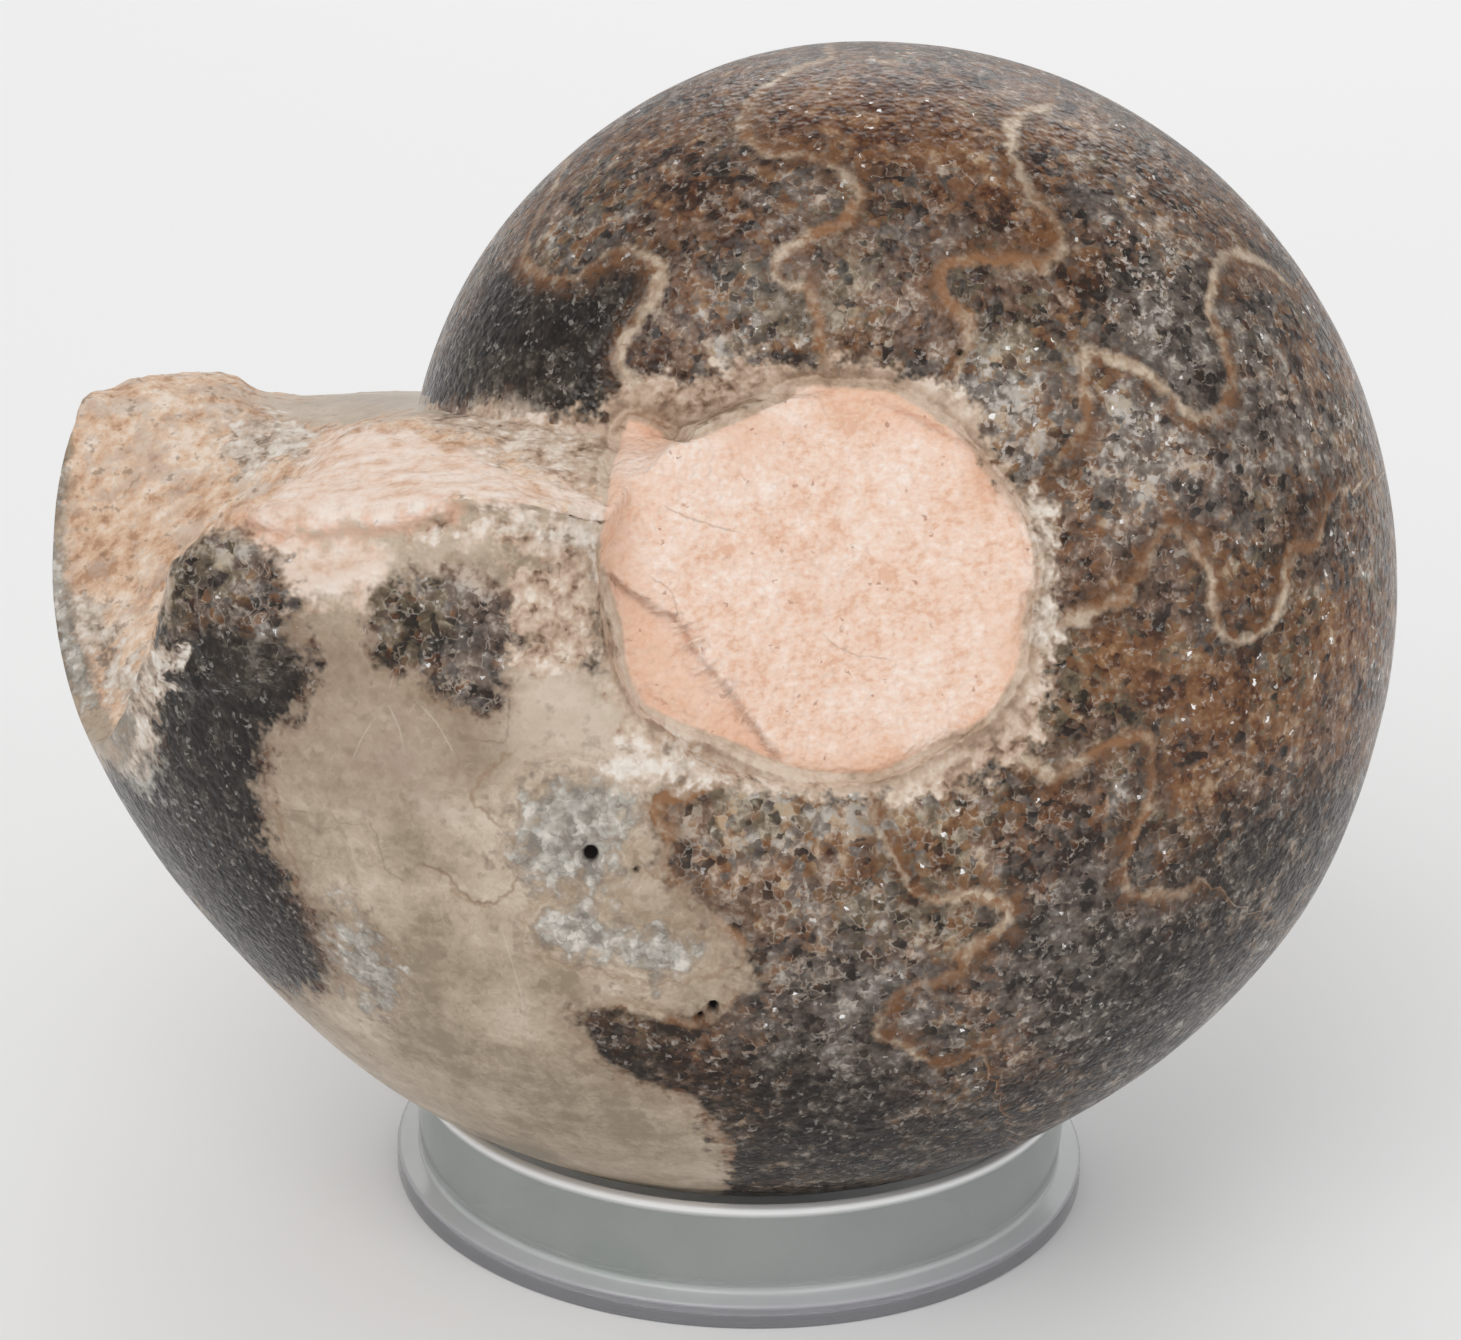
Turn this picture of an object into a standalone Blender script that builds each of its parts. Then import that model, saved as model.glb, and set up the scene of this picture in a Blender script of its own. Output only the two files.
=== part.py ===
"""A globular fossil ammonite, polished, resting on a clear plastic ring stand.

Metres, +Z up. The coil's open end is on the left (-X) and its front faces -Y.
The origin is under the middle of the bounding box, on the surface that the
stand rests on.

The ammonite is worked out in coil coordinates, in millimetres: x to the right
and y up in the plane of the coil, z along the coiling axis towards the front.
Azimuths turn counter-clockwise from +x, in degrees. Going back along the whorl
from the open end, the azimuth grows by a full turn until the older whorl meets
the open end again.
"""
import math

import bmesh
import bpy
import numpy as np

MM = 0.001

# Ring stand: a thin wall on a wider foot (mm)
FOOT_RADIUS = 25.0
FOOT_HEIGHT = 1.8
RIM_RADIUS = 23.9
RIM_HEIGHT = 8.6
WALL_FOOT_RADIUS = 23.3
BORE_RADIUS = 22.0
RIM_BORE_RADIUS = 22.9
RIM_ROUNDING = 0.35
RING_STEPS = 56

# Where the coil sits over the ring's centre (mm), and how far it leans back
COIL_X = 4.5
COIL_Y = -0.2
COIL_Z = 48.5
LEAN = math.radians(14.0)

# The outer whorl's spiral (mm)
SPIRAL_START = 167.0        # azimuth where SPIRAL_RADIUS is measured
SPIRAL_RADIUS = 54.5
EXPANSION = 1.867           # how much the radius grows in one whorl
FULLNESS = 0.021            # the outline is this much fuller late in the turn
FULLNESS_SKEW = 2.0
# Low swells of the polished outline: azimuth, half width (degrees), height (mm)
SWELLS = (
    (187.0, 15.0, 1.1),
    (219.0, 9.0, -0.5),
    (324.0, 9.0, 0.35),
    (459.0, 11.0, 0.25),
)

# The whorl's section (mm)
HALF_THICKNESS = 33.5       # at the umbilical shoulder, at SPIRAL_START
THICKENING = 1.45           # how much the thickness grows in one whorl
SECTION_FULLNESS = 0.94     # 1 is an ellipse, less is boxier
SHOULDER_DROP = 1.2         # the shoulder rounds down to the plug's edge
SHOULDER_WIDTH = 2.5

# The matrix plug in the umbilicus (mm)
PLUG_RADIUS = 13.1
PLUG_OFFSET = (-0.85, -0.7)
PLUG_OVAL = 0.67
PLUG_HEIGHT = 26.8          # above the coil's middle plane, on the axis
PLUG_TILT = (-0.167, -0.17)
PLUG_SADDLE = 1.0
PLUG_RINGS = (0.0, 0.3, 0.6, 0.85, 0.965)
# A flake is off the plug's lower left: a point on its edge, the direction
# that it lies in, its depth and how soon it reaches that depth
FLAKE_EDGE = (-8.0, -4.5)
FLAKE_DIRECTION = math.radians(214.0)
FLAKE_DEPTH = 1.0
FLAKE_SLOPE = 3.5

# The open end: a broken face across the whorl, given by its height y (mm)
FACE_HEIGHT = 9.3
# Low swells of the face: x, z, half width, height
FACE_SWELLS = (
    (-44.0, -17.0, 7.0, 1.3),
    (-14.0, 32.0, 6.5, -2.6),
)
FAR_FALL = 0.06             # the face falls away towards the far side as well
SHOULDER_Z = 21.0           # from here towards the front the face falls away
SHOULDER_FALL = 0.24        # by this much a millimetre,
SHOULDER_FALL_LEFT = 0.0225  # and by this much more a millimetre further left
SHOULDER_LEFT_X = -19.0
# A scoop is broken out of the near left: a valley between two points (x, z)
SCOOP_TOP = (-36.0, -2.0)
SCOOP_BOTTOM = (-48.0, 9.0)
SCOOP_TOP_HEIGHT = 5.5
SCOOP_FALL = 19.5
SCOOP_EASE = 1.3            # 1 falls evenly, more starts gently
SCOOP_HEAD_RISE = 14.0
SCOOP_CURVE = 0.047
FACE_BLEND = 3.5            # how softly the scoop's rim is rounded
# The crystal knob that stands on the face's near corner
KNOB_CENTRE = (-39.5, -2.0, 26.0)
KNOB_SIZE = 4.5
KNOB_HEIGHT = 1.8
KNOB_OUTWARDS = (-0.45, 0.45, 0.77)

# How the surface is divided
FACE_COLUMNS = 14
WHORL_COLUMNS = 78
FLANK_ROWS = 19
# Where the search for the lip and for the seam starts, and its step and span
LIP_SEARCH = 140.0
SEAM_SEARCH = 490.0
SEARCH_STEP = 0.25
SEARCH_SPAN = 60.0
SHARP_ANGLE = math.radians(50.0)


def bell(distance, half_width):
    """A smooth hump that is 1 at no distance and fades out past half_width."""
    return math.exp(-((distance / half_width) ** 2))


def spiral_radius(azimuth):
    """The coil's outer radius at an azimuth that grows back along the whorl."""
    turns = (azimuth - SPIRAL_START) / 360.0
    radius = SPIRAL_RADIUS * EXPANSION ** (-turns)
    late = math.sin(math.pi * min(max(turns, 0.0), 1.0) ** FULLNESS_SKEW)
    radius *= 1.0 + FULLNESS * late * late
    for centre, half_width, height in SWELLS:
        radius += height * bell(azimuth - centre, half_width)
    return radius


def plug_edge(azimuth):
    """The radius where the matrix plug meets the whorl."""
    a = math.radians(azimuth)
    shift = PLUG_OFFSET[0] * math.cos(a) + PLUG_OFFSET[1] * math.sin(a)
    return PLUG_RADIUS + shift + PLUG_OVAL * math.cos(2.0 * a)


def plug_height(x, y, side):
    """The plug's height above the coil's middle plane, on either side."""
    saddle = PLUG_SADDLE * (x * x - y * y) / PLUG_RADIUS**2
    height = PLUG_HEIGHT + PLUG_TILT[0] * x + PLUG_TILT[1] * y + saddle
    if side > 0:
        along = (x - FLAKE_EDGE[0]) * math.cos(FLAKE_DIRECTION)
        along += (y - FLAKE_EDGE[1]) * math.sin(FLAKE_DIRECTION)
        height -= FLAKE_DEPTH * min(max(along / FLAKE_SLOPE, 0.0), 1.0)
    return height


def whorl_point(azimuth, section):
    """A point of the outer surface.

    section runs from 0 at the near umbilical shoulder through 0.5 at the
    venter, the coil's outer edge, to 1 at the far shoulder.
    """
    angle = math.pi * section
    side = 1.0 if section < 0.5 else -1.0
    edge = plug_edge(azimuth)
    reach = (spiral_radius(azimuth) - edge) * math.sin(angle) ** SECTION_FULLNESS
    turns = (azimuth - SPIRAL_START) / 360.0
    thickness = HALF_THICKNESS * THICKENING ** (-turns)
    z = side * thickness * abs(math.cos(angle)) ** SECTION_FULLNESS
    z -= side * SHOULDER_DROP * math.exp(-reach / SHOULDER_WIDTH)
    a = math.radians(azimuth)
    return np.array([(edge + reach) * math.cos(a), (edge + reach) * math.sin(a), z])


def face_height(x, z):
    """The height y of the broken open end, over a place x, z across it."""
    height = FACE_HEIGHT
    for swell_x, swell_z, half_width, rise in FACE_SWELLS:
        height += rise * bell(math.hypot(x - swell_x, z - swell_z), half_width)
    height -= FAR_FALL * max(-z, 0.0)
    past_shoulder = max(z - SHOULDER_Z, 0.0)
    fall = SHOULDER_FALL + SHOULDER_FALL_LEFT * max(SHOULDER_LEFT_X - x, 0.0)
    height -= fall * past_shoulder
    length = math.dist(SCOOP_TOP, SCOOP_BOTTOM)
    run_x = (SCOOP_BOTTOM[0] - SCOOP_TOP[0]) / length
    run_z = (SCOOP_BOTTOM[1] - SCOOP_TOP[1]) / length
    along = ((x - SCOOP_TOP[0]) * run_x + (z - SCOOP_TOP[1]) * run_z) / length
    across = (x - SCOOP_TOP[0]) * run_z - (z - SCOOP_TOP[1]) * run_x
    floor = SCOOP_TOP_HEIGHT - SCOOP_FALL * min(max(along, 0.0), 1.0) ** SCOOP_EASE
    floor += SCOOP_HEAD_RISE * max(-along, 0.0)
    scoop = floor + SCOOP_CURVE * across * across
    # The lower of the two, with the crease between them rounded
    gap = scoop - height
    return height + 0.5 * (gap - math.sqrt(gap * gap + FACE_BLEND**2))


def meeting_azimuth(section, start):
    """The azimuth, going back from start, where the whorl dips under the face."""
    azimuth = start
    while azimuth < start + SEARCH_SPAN:
        x, y, z = whorl_point(azimuth, section)
        if y < face_height(x, z):
            break
        azimuth += SEARCH_STEP
    return azimuth


def rounded_out(point):
    """A point of the shell with the crystal knob's swelling added to it."""
    away = np.linalg.norm(point - np.array(KNOB_CENTRE))
    return point + np.array(KNOB_OUTWARDS) * KNOB_HEIGHT * bell(away, KNOB_SIZE)


def shell_point(column, row, lip, seam):
    """The place of one vertex of the globe that the shell is shaped from.

    lip and seam are the azimuths where the row's whorl starts, at the open
    end's lip, and ends, where the older whorl meets the open end.
    """
    rings = len(PLUG_RINGS)
    last_row = 2 * (rings + FLANK_ROWS)
    side = 1.0 if row * 2 <= last_row else -1.0
    if column > FACE_COLUMNS:
        share = (column - FACE_COLUMNS) / WHORL_COLUMNS
        azimuth = lip + (seam - lip) * share
    else:
        azimuth = seam - 360.0 + (lip + 360.0 - seam) * column / FACE_COLUMNS
    from_pole = min(row, last_row - row)
    if from_pole < rings:
        # Towards the pole the columns spread out to even steps
        middle = (seam - 360.0 + lip) / 2.0
        even = middle + (column - FACE_COLUMNS / 2.0) * 360.0 / (FACE_COLUMNS + WHORL_COLUMNS)
        azimuth = even + (azimuth - even) * PLUG_RINGS[from_pole] / PLUG_RINGS[-1]
        radius = plug_edge(azimuth) * PLUG_RINGS[from_pole]
        x = radius * math.cos(math.radians(azimuth))
        y = radius * math.sin(math.radians(azimuth))
        return np.array([x, y, side * plug_height(x, y, side)])
    section = (row - rings) / (2.0 * FLANK_ROWS)
    if column > FACE_COLUMNS:
        return rounded_out(whorl_point(azimuth, section))
    share = column / FACE_COLUMNS
    point = whorl_point(seam, section) * (1.0 - share) + whorl_point(lip, section) * share
    if from_pole == rings:
        # Along the plug's edge the face follows the plug's own arc
        a = math.radians(azimuth)
        point[:2] = plug_edge(azimuth) * math.cos(a), plug_edge(azimuth) * math.sin(a)
    elif 0 < column < FACE_COLUMNS:
        point[1] = face_height(point[0], point[2])
    return rounded_out(point)


def row_limits():
    """For every row of the globe, its lip and seam azimuths."""
    rings = len(PLUG_RINGS)
    limits = []
    for row in range(2 * (rings + FLANK_ROWS) + 1):
        section = min(max((row - rings) / (2.0 * FLANK_ROWS), 0.0), 1.0)
        lip = meeting_azimuth(section, LIP_SEARCH)
        seam = meeting_azimuth(section, SEAM_SEARCH)
        limits.append((lip, seam))
    return limits


def make_ammonite():
    """The shell, its crystal and its matrix are one stone: a globe, reshaped."""
    columns = FACE_COLUMNS + WHORL_COLUMNS
    rows = 2 * (len(PLUG_RINGS) + FLANK_ROWS)
    limits = row_limits()
    shape = bmesh.new()
    bmesh.ops.create_uvsphere(shape, u_segments=columns, v_segments=rows, radius=1.0)
    for vertex in shape.verts:
        turn = math.atan2(vertex.co.y, vertex.co.x) % (2.0 * math.pi)
        column = round(turn / (2.0 * math.pi) * columns) % columns
        row = round(math.acos(min(max(vertex.co.z, -1.0), 1.0)) / math.pi * rows)
        lip, seam = limits[row]
        vertex.co = shell_point(column, row, lip, seam) * MM
    bmesh.ops.triangulate(shape, faces=shape.faces)
    bmesh.ops.recalc_face_normals(shape, faces=shape.faces)
    mesh = bpy.data.meshes.new("ammonite")
    shape.to_mesh(mesh)
    shape.free()
    mesh.shade_smooth()
    mesh.set_sharp_from_angle(angle=SHARP_ANGLE)
    ammonite = bpy.data.objects.new("ammonite", mesh)
    ammonite.location = (COIL_X * MM, COIL_Y * MM, COIL_Z * MM)
    ammonite.rotation_euler = (math.pi / 2.0 - LEAN, 0.0, 0.0)
    return ammonite


def make_ring_stand():
    """A turned L-shaped profile: a slightly flared wall on a flat foot."""
    wall_top = RIM_HEIGHT - RIM_ROUNDING
    profile = (
        (RIM_RADIUS - RIM_ROUNDING, RIM_HEIGHT),
        (RIM_RADIUS, wall_top),
        (WALL_FOOT_RADIUS, FOOT_HEIGHT),
        (FOOT_RADIUS - RIM_ROUNDING, FOOT_HEIGHT),
        (FOOT_RADIUS, FOOT_HEIGHT - RIM_ROUNDING),
        (FOOT_RADIUS, 0.0),
        (BORE_RADIUS, 0.0),
        (RIM_BORE_RADIUS, wall_top),
    )
    mesh = bpy.data.meshes.new("ring_stand")
    shape = bmesh.new()
    corners = [shape.verts.new((r * MM, 0.0, z * MM)) for r, z in profile]
    for corner, following in zip(corners, corners[1:] + corners[:1]):
        shape.edges.new((corner, following))
    shape.to_mesh(mesh)
    shape.free()
    ring = bpy.data.objects.new("ring_stand", mesh)
    screw = ring.modifiers.new("turned", "SCREW")
    screw.axis = "Z"
    screw.steps = RING_STEPS
    screw.render_steps = RING_STEPS
    screw.use_merge_vertices = True
    screw.merge_threshold = 0.00001
    screw.use_smooth_shade = True
    return ring


def add_material(thing, name, colour, roughness, clear=0.0, ior=1.5):
    """Gives a piece its own plain finish."""
    material = bpy.data.materials.new(name)
    material.use_nodes = True
    surface = material.node_tree.nodes["Principled BSDF"]
    surface.inputs["Base Color"].default_value = (*colour, 1.0)
    surface.inputs["Roughness"].default_value = roughness
    surface.inputs["Metallic"].default_value = 0.0
    surface.inputs["IOR"].default_value = ior
    surface.inputs["Transmission Weight"].default_value = clear
    thing.data.materials.append(material)


def centre_over_origin(things, carrier):
    """Moves the carrier so that the box round the things stands on the origin."""
    bpy.context.view_layer.update()
    seen = bpy.context.evaluated_depsgraph_get()
    points = []
    for thing in things:
        shown = thing.evaluated_get(seen)
        mesh = shown.to_mesh()
        points += [shown.matrix_world @ vertex.co for vertex in mesh.vertices]
        shown.to_mesh_clear()
    points = np.array(points)
    low, high = points.min(axis=0), points.max(axis=0)
    carrier.location = (-(low[0] + high[0]) / 2.0, -(low[1] + high[1]) / 2.0, -low[2])
    bpy.context.view_layer.update()


def main():
    for thing in list(bpy.data.objects):
        bpy.data.objects.remove(thing, do_unlink=True)
    collection = bpy.data.collections.new("fossil_ammonite")
    bpy.context.scene.collection.children.link(collection)
    carrier = bpy.data.objects.new("ammonite_on_stand", None)
    collection.objects.link(carrier)
    ammonite = make_ammonite()
    ring = make_ring_stand()
    add_material(ammonite, "stone", (0.24, 0.17, 0.12), 0.35)
    add_material(ring, "clear_plastic", (0.75, 0.76, 0.77), 0.12, clear=0.8, ior=1.49)
    for thing in (ammonite, ring):
        collection.objects.link(thing)
        thing.parent = carrier
    centre_over_origin((ammonite, ring), carrier)


main()
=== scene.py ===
# %% [markdown]
# # A fossil ammonite on a clear ring
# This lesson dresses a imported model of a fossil: a globular ammonite, polished
# after it was dug out, that rests on a low ring of clear plastic. The solids
# already have the right size. What they lack is the stone: calcite grains, the
# folded seams between the old chambers, chalky matrix and broken edges.
# The first cell loads the solids as a frame that nothing here may move.

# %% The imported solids
import math
from collections import namedtuple
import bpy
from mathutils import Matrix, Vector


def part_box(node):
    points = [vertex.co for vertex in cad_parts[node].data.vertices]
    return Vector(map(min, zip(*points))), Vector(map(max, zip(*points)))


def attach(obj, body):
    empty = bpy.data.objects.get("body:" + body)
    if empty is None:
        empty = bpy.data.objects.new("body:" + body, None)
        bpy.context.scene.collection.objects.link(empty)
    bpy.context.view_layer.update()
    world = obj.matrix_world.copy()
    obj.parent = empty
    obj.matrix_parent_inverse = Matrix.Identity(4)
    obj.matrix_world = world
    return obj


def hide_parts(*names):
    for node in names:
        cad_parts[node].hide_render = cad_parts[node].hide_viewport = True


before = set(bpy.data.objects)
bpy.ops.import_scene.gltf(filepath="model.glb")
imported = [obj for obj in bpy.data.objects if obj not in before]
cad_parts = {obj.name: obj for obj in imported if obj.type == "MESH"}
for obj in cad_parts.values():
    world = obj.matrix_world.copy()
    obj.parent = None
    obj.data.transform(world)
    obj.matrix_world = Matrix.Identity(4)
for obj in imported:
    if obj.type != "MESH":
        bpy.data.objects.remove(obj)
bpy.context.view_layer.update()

from types import SimpleNamespace

import bmesh
import bpy
import numpy as np
from mathutils import Matrix, Vector, noise
from mathutils.bvhtree import BVHTree
from mathutils.kdtree import KDTree

MM = 0.001
scene = bpy.context.scene

# %% [markdown]
# ## Where the stone sits
# The fossil is described in coil coordinates, as its maker drew it: x to the
# right and y up in the plane of the coil, z along the axis that it coils round.
# The coil leans back a little on its ring. Every place on the stone can be
# turned into these coordinates, which is how its two sides are told apart.

# %% Coil coordinates
LEAN = math.radians(14.0)
COIL_FROM_RING = Vector((4.5, -0.2, 48.5)) * MM

ring_low, ring_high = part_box("ring_stand")
ring_centre = Vector(((ring_low[0] + ring_high[0]) / 2, (ring_low[1] + ring_high[1]) / 2, 0.0))
coil_centre = ring_centre + COIL_FROM_RING
COIL_AXES = np.array((
    (1.0, 0.0, 0.0),
    (0.0, math.sin(LEAN), math.cos(LEAN)),
    (0.0, -math.cos(LEAN), math.sin(LEAN)),
))


def to_coil(points):
    """Places in the room as coil coordinates in millimetres."""
    return (np.atleast_2d(points) - np.array(coil_centre)) @ COIL_AXES.T / MM


def from_coil(places):
    """Coil coordinates in millimetres as places in the room."""
    return np.atleast_2d(places) @ COIL_AXES * MM + np.array(coil_centre)


print("ring centre in mm:", [round(v / MM, 2) for v in ring_centre])

# %% [markdown]
# ## The camera
# A long lens, a little above the fossil, looks down on it by about 21 degrees.
# A camera is only a place, three axes and a focal length, so they are worked
# out here. The same numbers then let the script put a mark on the
# stone by its place in the frame: a ray goes from the camera through that
# pixel until it meets the surface.

# %% The camera
FRAME_WIDTH = 1461
FRAME_HEIGHT = 1340
FOCAL_PIXELS = 4270.0
SENSOR_WIDTH = 36.0
CAMERA_DISTANCE = 300.0 * MM
CAMERA_RISE = math.radians(21.4)
CAMERA_ROLL = math.radians(1.62)
CAMERA_TARGET = ring_centre + Vector((-1.61, 0.0, 38.4)) * MM

forward = Vector((0.0, math.cos(CAMERA_RISE), -math.sin(CAMERA_RISE)))
level_right = Vector((1.0, 0.0, 0.0))
level_up = level_right.cross(forward)
right = level_right * math.cos(CAMERA_ROLL) + level_up * math.sin(CAMERA_ROLL)
up = level_up * math.cos(CAMERA_ROLL) - level_right * math.sin(CAMERA_ROLL)
camera_place = CAMERA_TARGET - forward * CAMERA_DISTANCE

lens = bpy.data.cameras.new("camera")
lens.sensor_width = SENSOR_WIDTH
lens.lens = FOCAL_PIXELS * SENSOR_WIDTH / FRAME_WIDTH
lens.clip_start = 0.01
camera = bpy.data.objects.new("camera", lens)
scene.collection.objects.link(camera)
turn = Matrix((right, up, -forward)).transposed().to_4x4()
camera.matrix_world = Matrix.Translation(camera_place) @ turn
scene.camera = camera


def pixels_of(points):
    """Where places in the room appear in the frame, in pixels."""
    away = np.atleast_2d(points) - np.array(camera_place)
    depth = away @ np.array(forward)
    across = FRAME_WIDTH / 2 + FOCAL_PIXELS * (away @ np.array(right)) / depth
    down = FRAME_HEIGHT / 2 - FOCAL_PIXELS * (away @ np.array(up)) / depth
    return np.column_stack((across, down))


print("lens in mm:", round(lens.lens, 1))

# %% [markdown]
# ## Floor and light
# A stone with a satin polish shows its surroundings, so the surroundings are
# plain: a pale floor, a white room and three large soft lamps. The room's own
# light fills the shadows and gives the grey veil that a polished stone has
# where it curves away from the eye.

# %% Floor and light
FLOOR_SIZE = 3.0
FLOOR_GREY = (0.9, 0.9, 0.9, 1.0)
ROOM_LIGHT = 0.55

floor_shape = bmesh.new()
bmesh.ops.create_grid(floor_shape, x_segments=1, y_segments=1, size=FLOOR_SIZE)
floor_mesh = bpy.data.meshes.new("floor")
floor_shape.to_mesh(floor_mesh)
floor_shape.free()
floor = bpy.data.objects.new("floor", floor_mesh)
scene.collection.objects.link(floor)
floor_paint = bpy.data.materials.new("pale_floor")
floor_paint.use_nodes = True
floor_nodes = floor_paint.node_tree.nodes
floor_nodes.remove(floor_nodes["Principled BSDF"])
matt = floor_nodes.new("ShaderNodeBsdfDiffuse")
matt.inputs["Color"].default_value = FLOOR_GREY
floor_paint.node_tree.links.new(matt.outputs["BSDF"], floor_nodes["Material Output"].inputs["Surface"])
floor_mesh.materials.append(floor_paint)

room = bpy.data.worlds.new("white_room")
room.use_nodes = True
light = room.node_tree.nodes["Background"].inputs
light["Color"].default_value = (1.0, 1.0, 1.0, 1.0)
light["Strength"].default_value = ROOM_LIGHT
room.cycles.sampling_method = "NONE"     # one even colour needs no map
scene.world = room
scene.view_settings.view_transform = "Standard"


LAMP_SIZE = 0.7
LAMPS = {                       # place in metres, power in watts
    "key_lamp": ((-0.30, -0.60, 0.70), 3.4),
    "fill_lamp": ((0.60, -0.60, 0.40), 1.2),
    "back_lamp": ((0.10, 0.70, 0.60), 2.2),
}

for name, (place, watts) in LAMPS.items():
    lamp = bpy.data.lights.new(name, "AREA")
    lamp.size = LAMP_SIZE
    lamp.energy = watts
    stand = bpy.data.objects.new(name, lamp)
    stand.location = place
    stand.rotation_euler = (coil_centre - Vector(place)).to_track_quat("-Z", "Y").to_euler()
    scene.collection.objects.link(stand)

# %% [markdown]
# ## Nodes in a few words
# A finish is a graph of small nodes. Placing each by hand takes pages, so this
# small board adds a node, joins or sets its inputs and hands back its output.
# A finish then reads like a recipe: this grain, faded between these limits,
# mixed into that colour.

# %% A board for laying out finishes
class Board:
    """A material's node tree, with one short call for each kind of node."""

    def __init__(self, name):
        self.material = bpy.data.materials.new(name)
        self.material.use_nodes = True
        self.tree = self.material.node_tree
        self.surface = self.tree.nodes["Principled BSDF"]
        self.place = self.add("ShaderNodeTexCoord").outputs["Object"]

    def add(self, kind, inputs=None, **settings):
        made = self.tree.nodes.new(kind)
        for name, value in settings.items():
            setattr(made, name, value)
        for name, value in (inputs or {}).items():
            self.join(value, made.inputs[name])
        return made

    def join(self, value, socket):
        if isinstance(value, bpy.types.NodeSocket):
            self.tree.links.new(value, socket)
        else:
            socket.default_value = value

    def math(self, operation, first, second=0.0, third=0.0, clamp=False):
        made = self.add("ShaderNodeMath", {0: first, 1: second, 2: third}, operation=operation)
        made.use_clamp = clamp
        return made.outputs[0]

    def fade(self, value, low, high, start=0.0, end=1.0):
        """start below low, end above high, and an even slope between them."""
        made = self.add("ShaderNodeMapRange")
        if low > high:
            low, high, start, end = high, low, end, start
        for name, entry in (("Value", value), ("From Min", low), ("From Max", high),
                            ("To Min", start), ("To Max", end)):
            self.join(entry, made.inputs[name])
        return made.outputs["Result"]

    def mix(self, share, first, second, blend="MIX"):
        made = self.add("ShaderNodeMix", data_type="RGBA", blend_type=blend)
        self.join(share, made.inputs["Factor"])
        self.join(first, made.inputs[6])
        self.join(second, made.inputs[7])
        return made.outputs[2]

    def noise(self, size, detail=2.0, rough=0.55, output=0, stretch=None, turn=(0, 0, 0)):
        """Cloudy noise with lumps about size metres across, drawn out along turned axes."""
        at = self.place
        if stretch is not None:
            at = self.add("ShaderNodeMapping", {"Vector": at, "Rotation": turn, "Scale": stretch},
                          vector_type="TEXTURE").outputs[0]
        made = self.add("ShaderNodeTexNoise", {"Vector": at, "Scale": 1.0 / size,
                                               "Detail": detail, "Roughness": rough})
        return made.outputs[output]

    def stripes(self, field, width, blur):
        """Lines that run along a mark's outline, width mm apart, blurred by a cloud."""
        along = self.math("MULTIPLY_ADD", field, 1.0 / width, blur)
        return self.add("ShaderNodeTexNoise", {"W": along, "Scale": 1.0, "Detail": 2.0},
                        noise_dimensions="1D").outputs[0]

    def grains(self, size, at, feature="F1"):
        """Cells about size metres across."""
        return self.add("ShaderNodeTexVoronoi", {"Vector": at, "Scale": 1.0 / size}, feature=feature)

    def vector(self, operation, first, second):
        made = self.add("ShaderNodeVectorMath", {0: first}, operation=operation)
        self.join(second, made.inputs["Scale" if operation == "SCALE" else 1])
        return made.outputs["Value" if operation == "DOT_PRODUCT" else "Vector"]

    def specks(self, size, at):
        """Three chance values for each small cube of space."""
        cube = self.vector("SNAP", at, (size, size, size))
        return self.add("ShaderNodeTexWhiteNoise", {"Vector": cube}).outputs["Color"]

    def ramp(self, value, steps, tints):
        """A colour for each step of a value, and those between for what lies between."""
        made = self.add("ShaderNodeValToRGB", {"Fac": value})
        bar = made.color_ramp.elements
        while len(bar) < len(steps):
            bar.new(1.0)
        for element, step, tint in zip(bar, steps, tints):
            element.position = step
            element.color = paint(*tint)
        return made.outputs["Color"]

    def split(self, colour):
        return self.add("ShaderNodeSeparateColor", {"Color": colour}).outputs

    def fields(self, groups):
        """The fields that are kept three to an attribute, each by its name."""
        found = {}
        for group in groups:
            kept = self.add("ShaderNodeAttribute", attribute_name="_".join(group)).outputs["Vector"]
            found.update(zip(group, self.add("ShaderNodeSeparateXYZ", {"Vector": kept}).outputs))
        return SimpleNamespace(**found)


def paint(red, green, blue):
    """A colour given as it looks, from 0 to 255, as Blender mixes it."""
    parts = []
    for value in (red, green, blue):
        value /= 255.0
        parts.append(value / 12.92 if value <= 0.04045 else ((value + 0.055) / 1.055) ** 2.4)
    return (*parts, 1.0)


def weighed(board, *pairs):
    """The sum of each pattern times its weight."""
    total = 0.0
    for pattern, weight in pairs:
        total = board.math("MULTIPLY_ADD", pattern, weight, total)
    return total


def times(board, *shares):
    """The product of some shares."""
    total = shares[0]
    for share in shares[1:]:
        total = board.math("MULTIPLY", total, share)
    return total


print("a middle grey looks like", round(paint(128, 128, 128)[0], 3))

# %% [markdown]
# ## The ring stand
# The stand is one moulding: a thin wall, flared a little, on a flat foot. A
# turned piece is half a section spun round its axis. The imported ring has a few
# dozen flat facets, which clear plastic would show up, so a finer ring is spun
# here from the same radii and its edges are rounded as a mould leaves them.

# %% The ring stand
FOOT_RADIUS = (ring_high[0] - ring_low[0]) / 2
FOOT_HEIGHT = 1.8 * MM
RIM_RADIUS = 23.9 * MM
RIM_HEIGHT = ring_high[2]
WALL_FOOT_RADIUS = 23.3 * MM
BORE_RADIUS = 22.0 * MM
RIM_BORE_RADIUS = 22.9 * MM
RING_STEPS = 144
EDGE_ROUNDING = 0.22 * MM
SHARP = math.radians(40.0)


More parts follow.
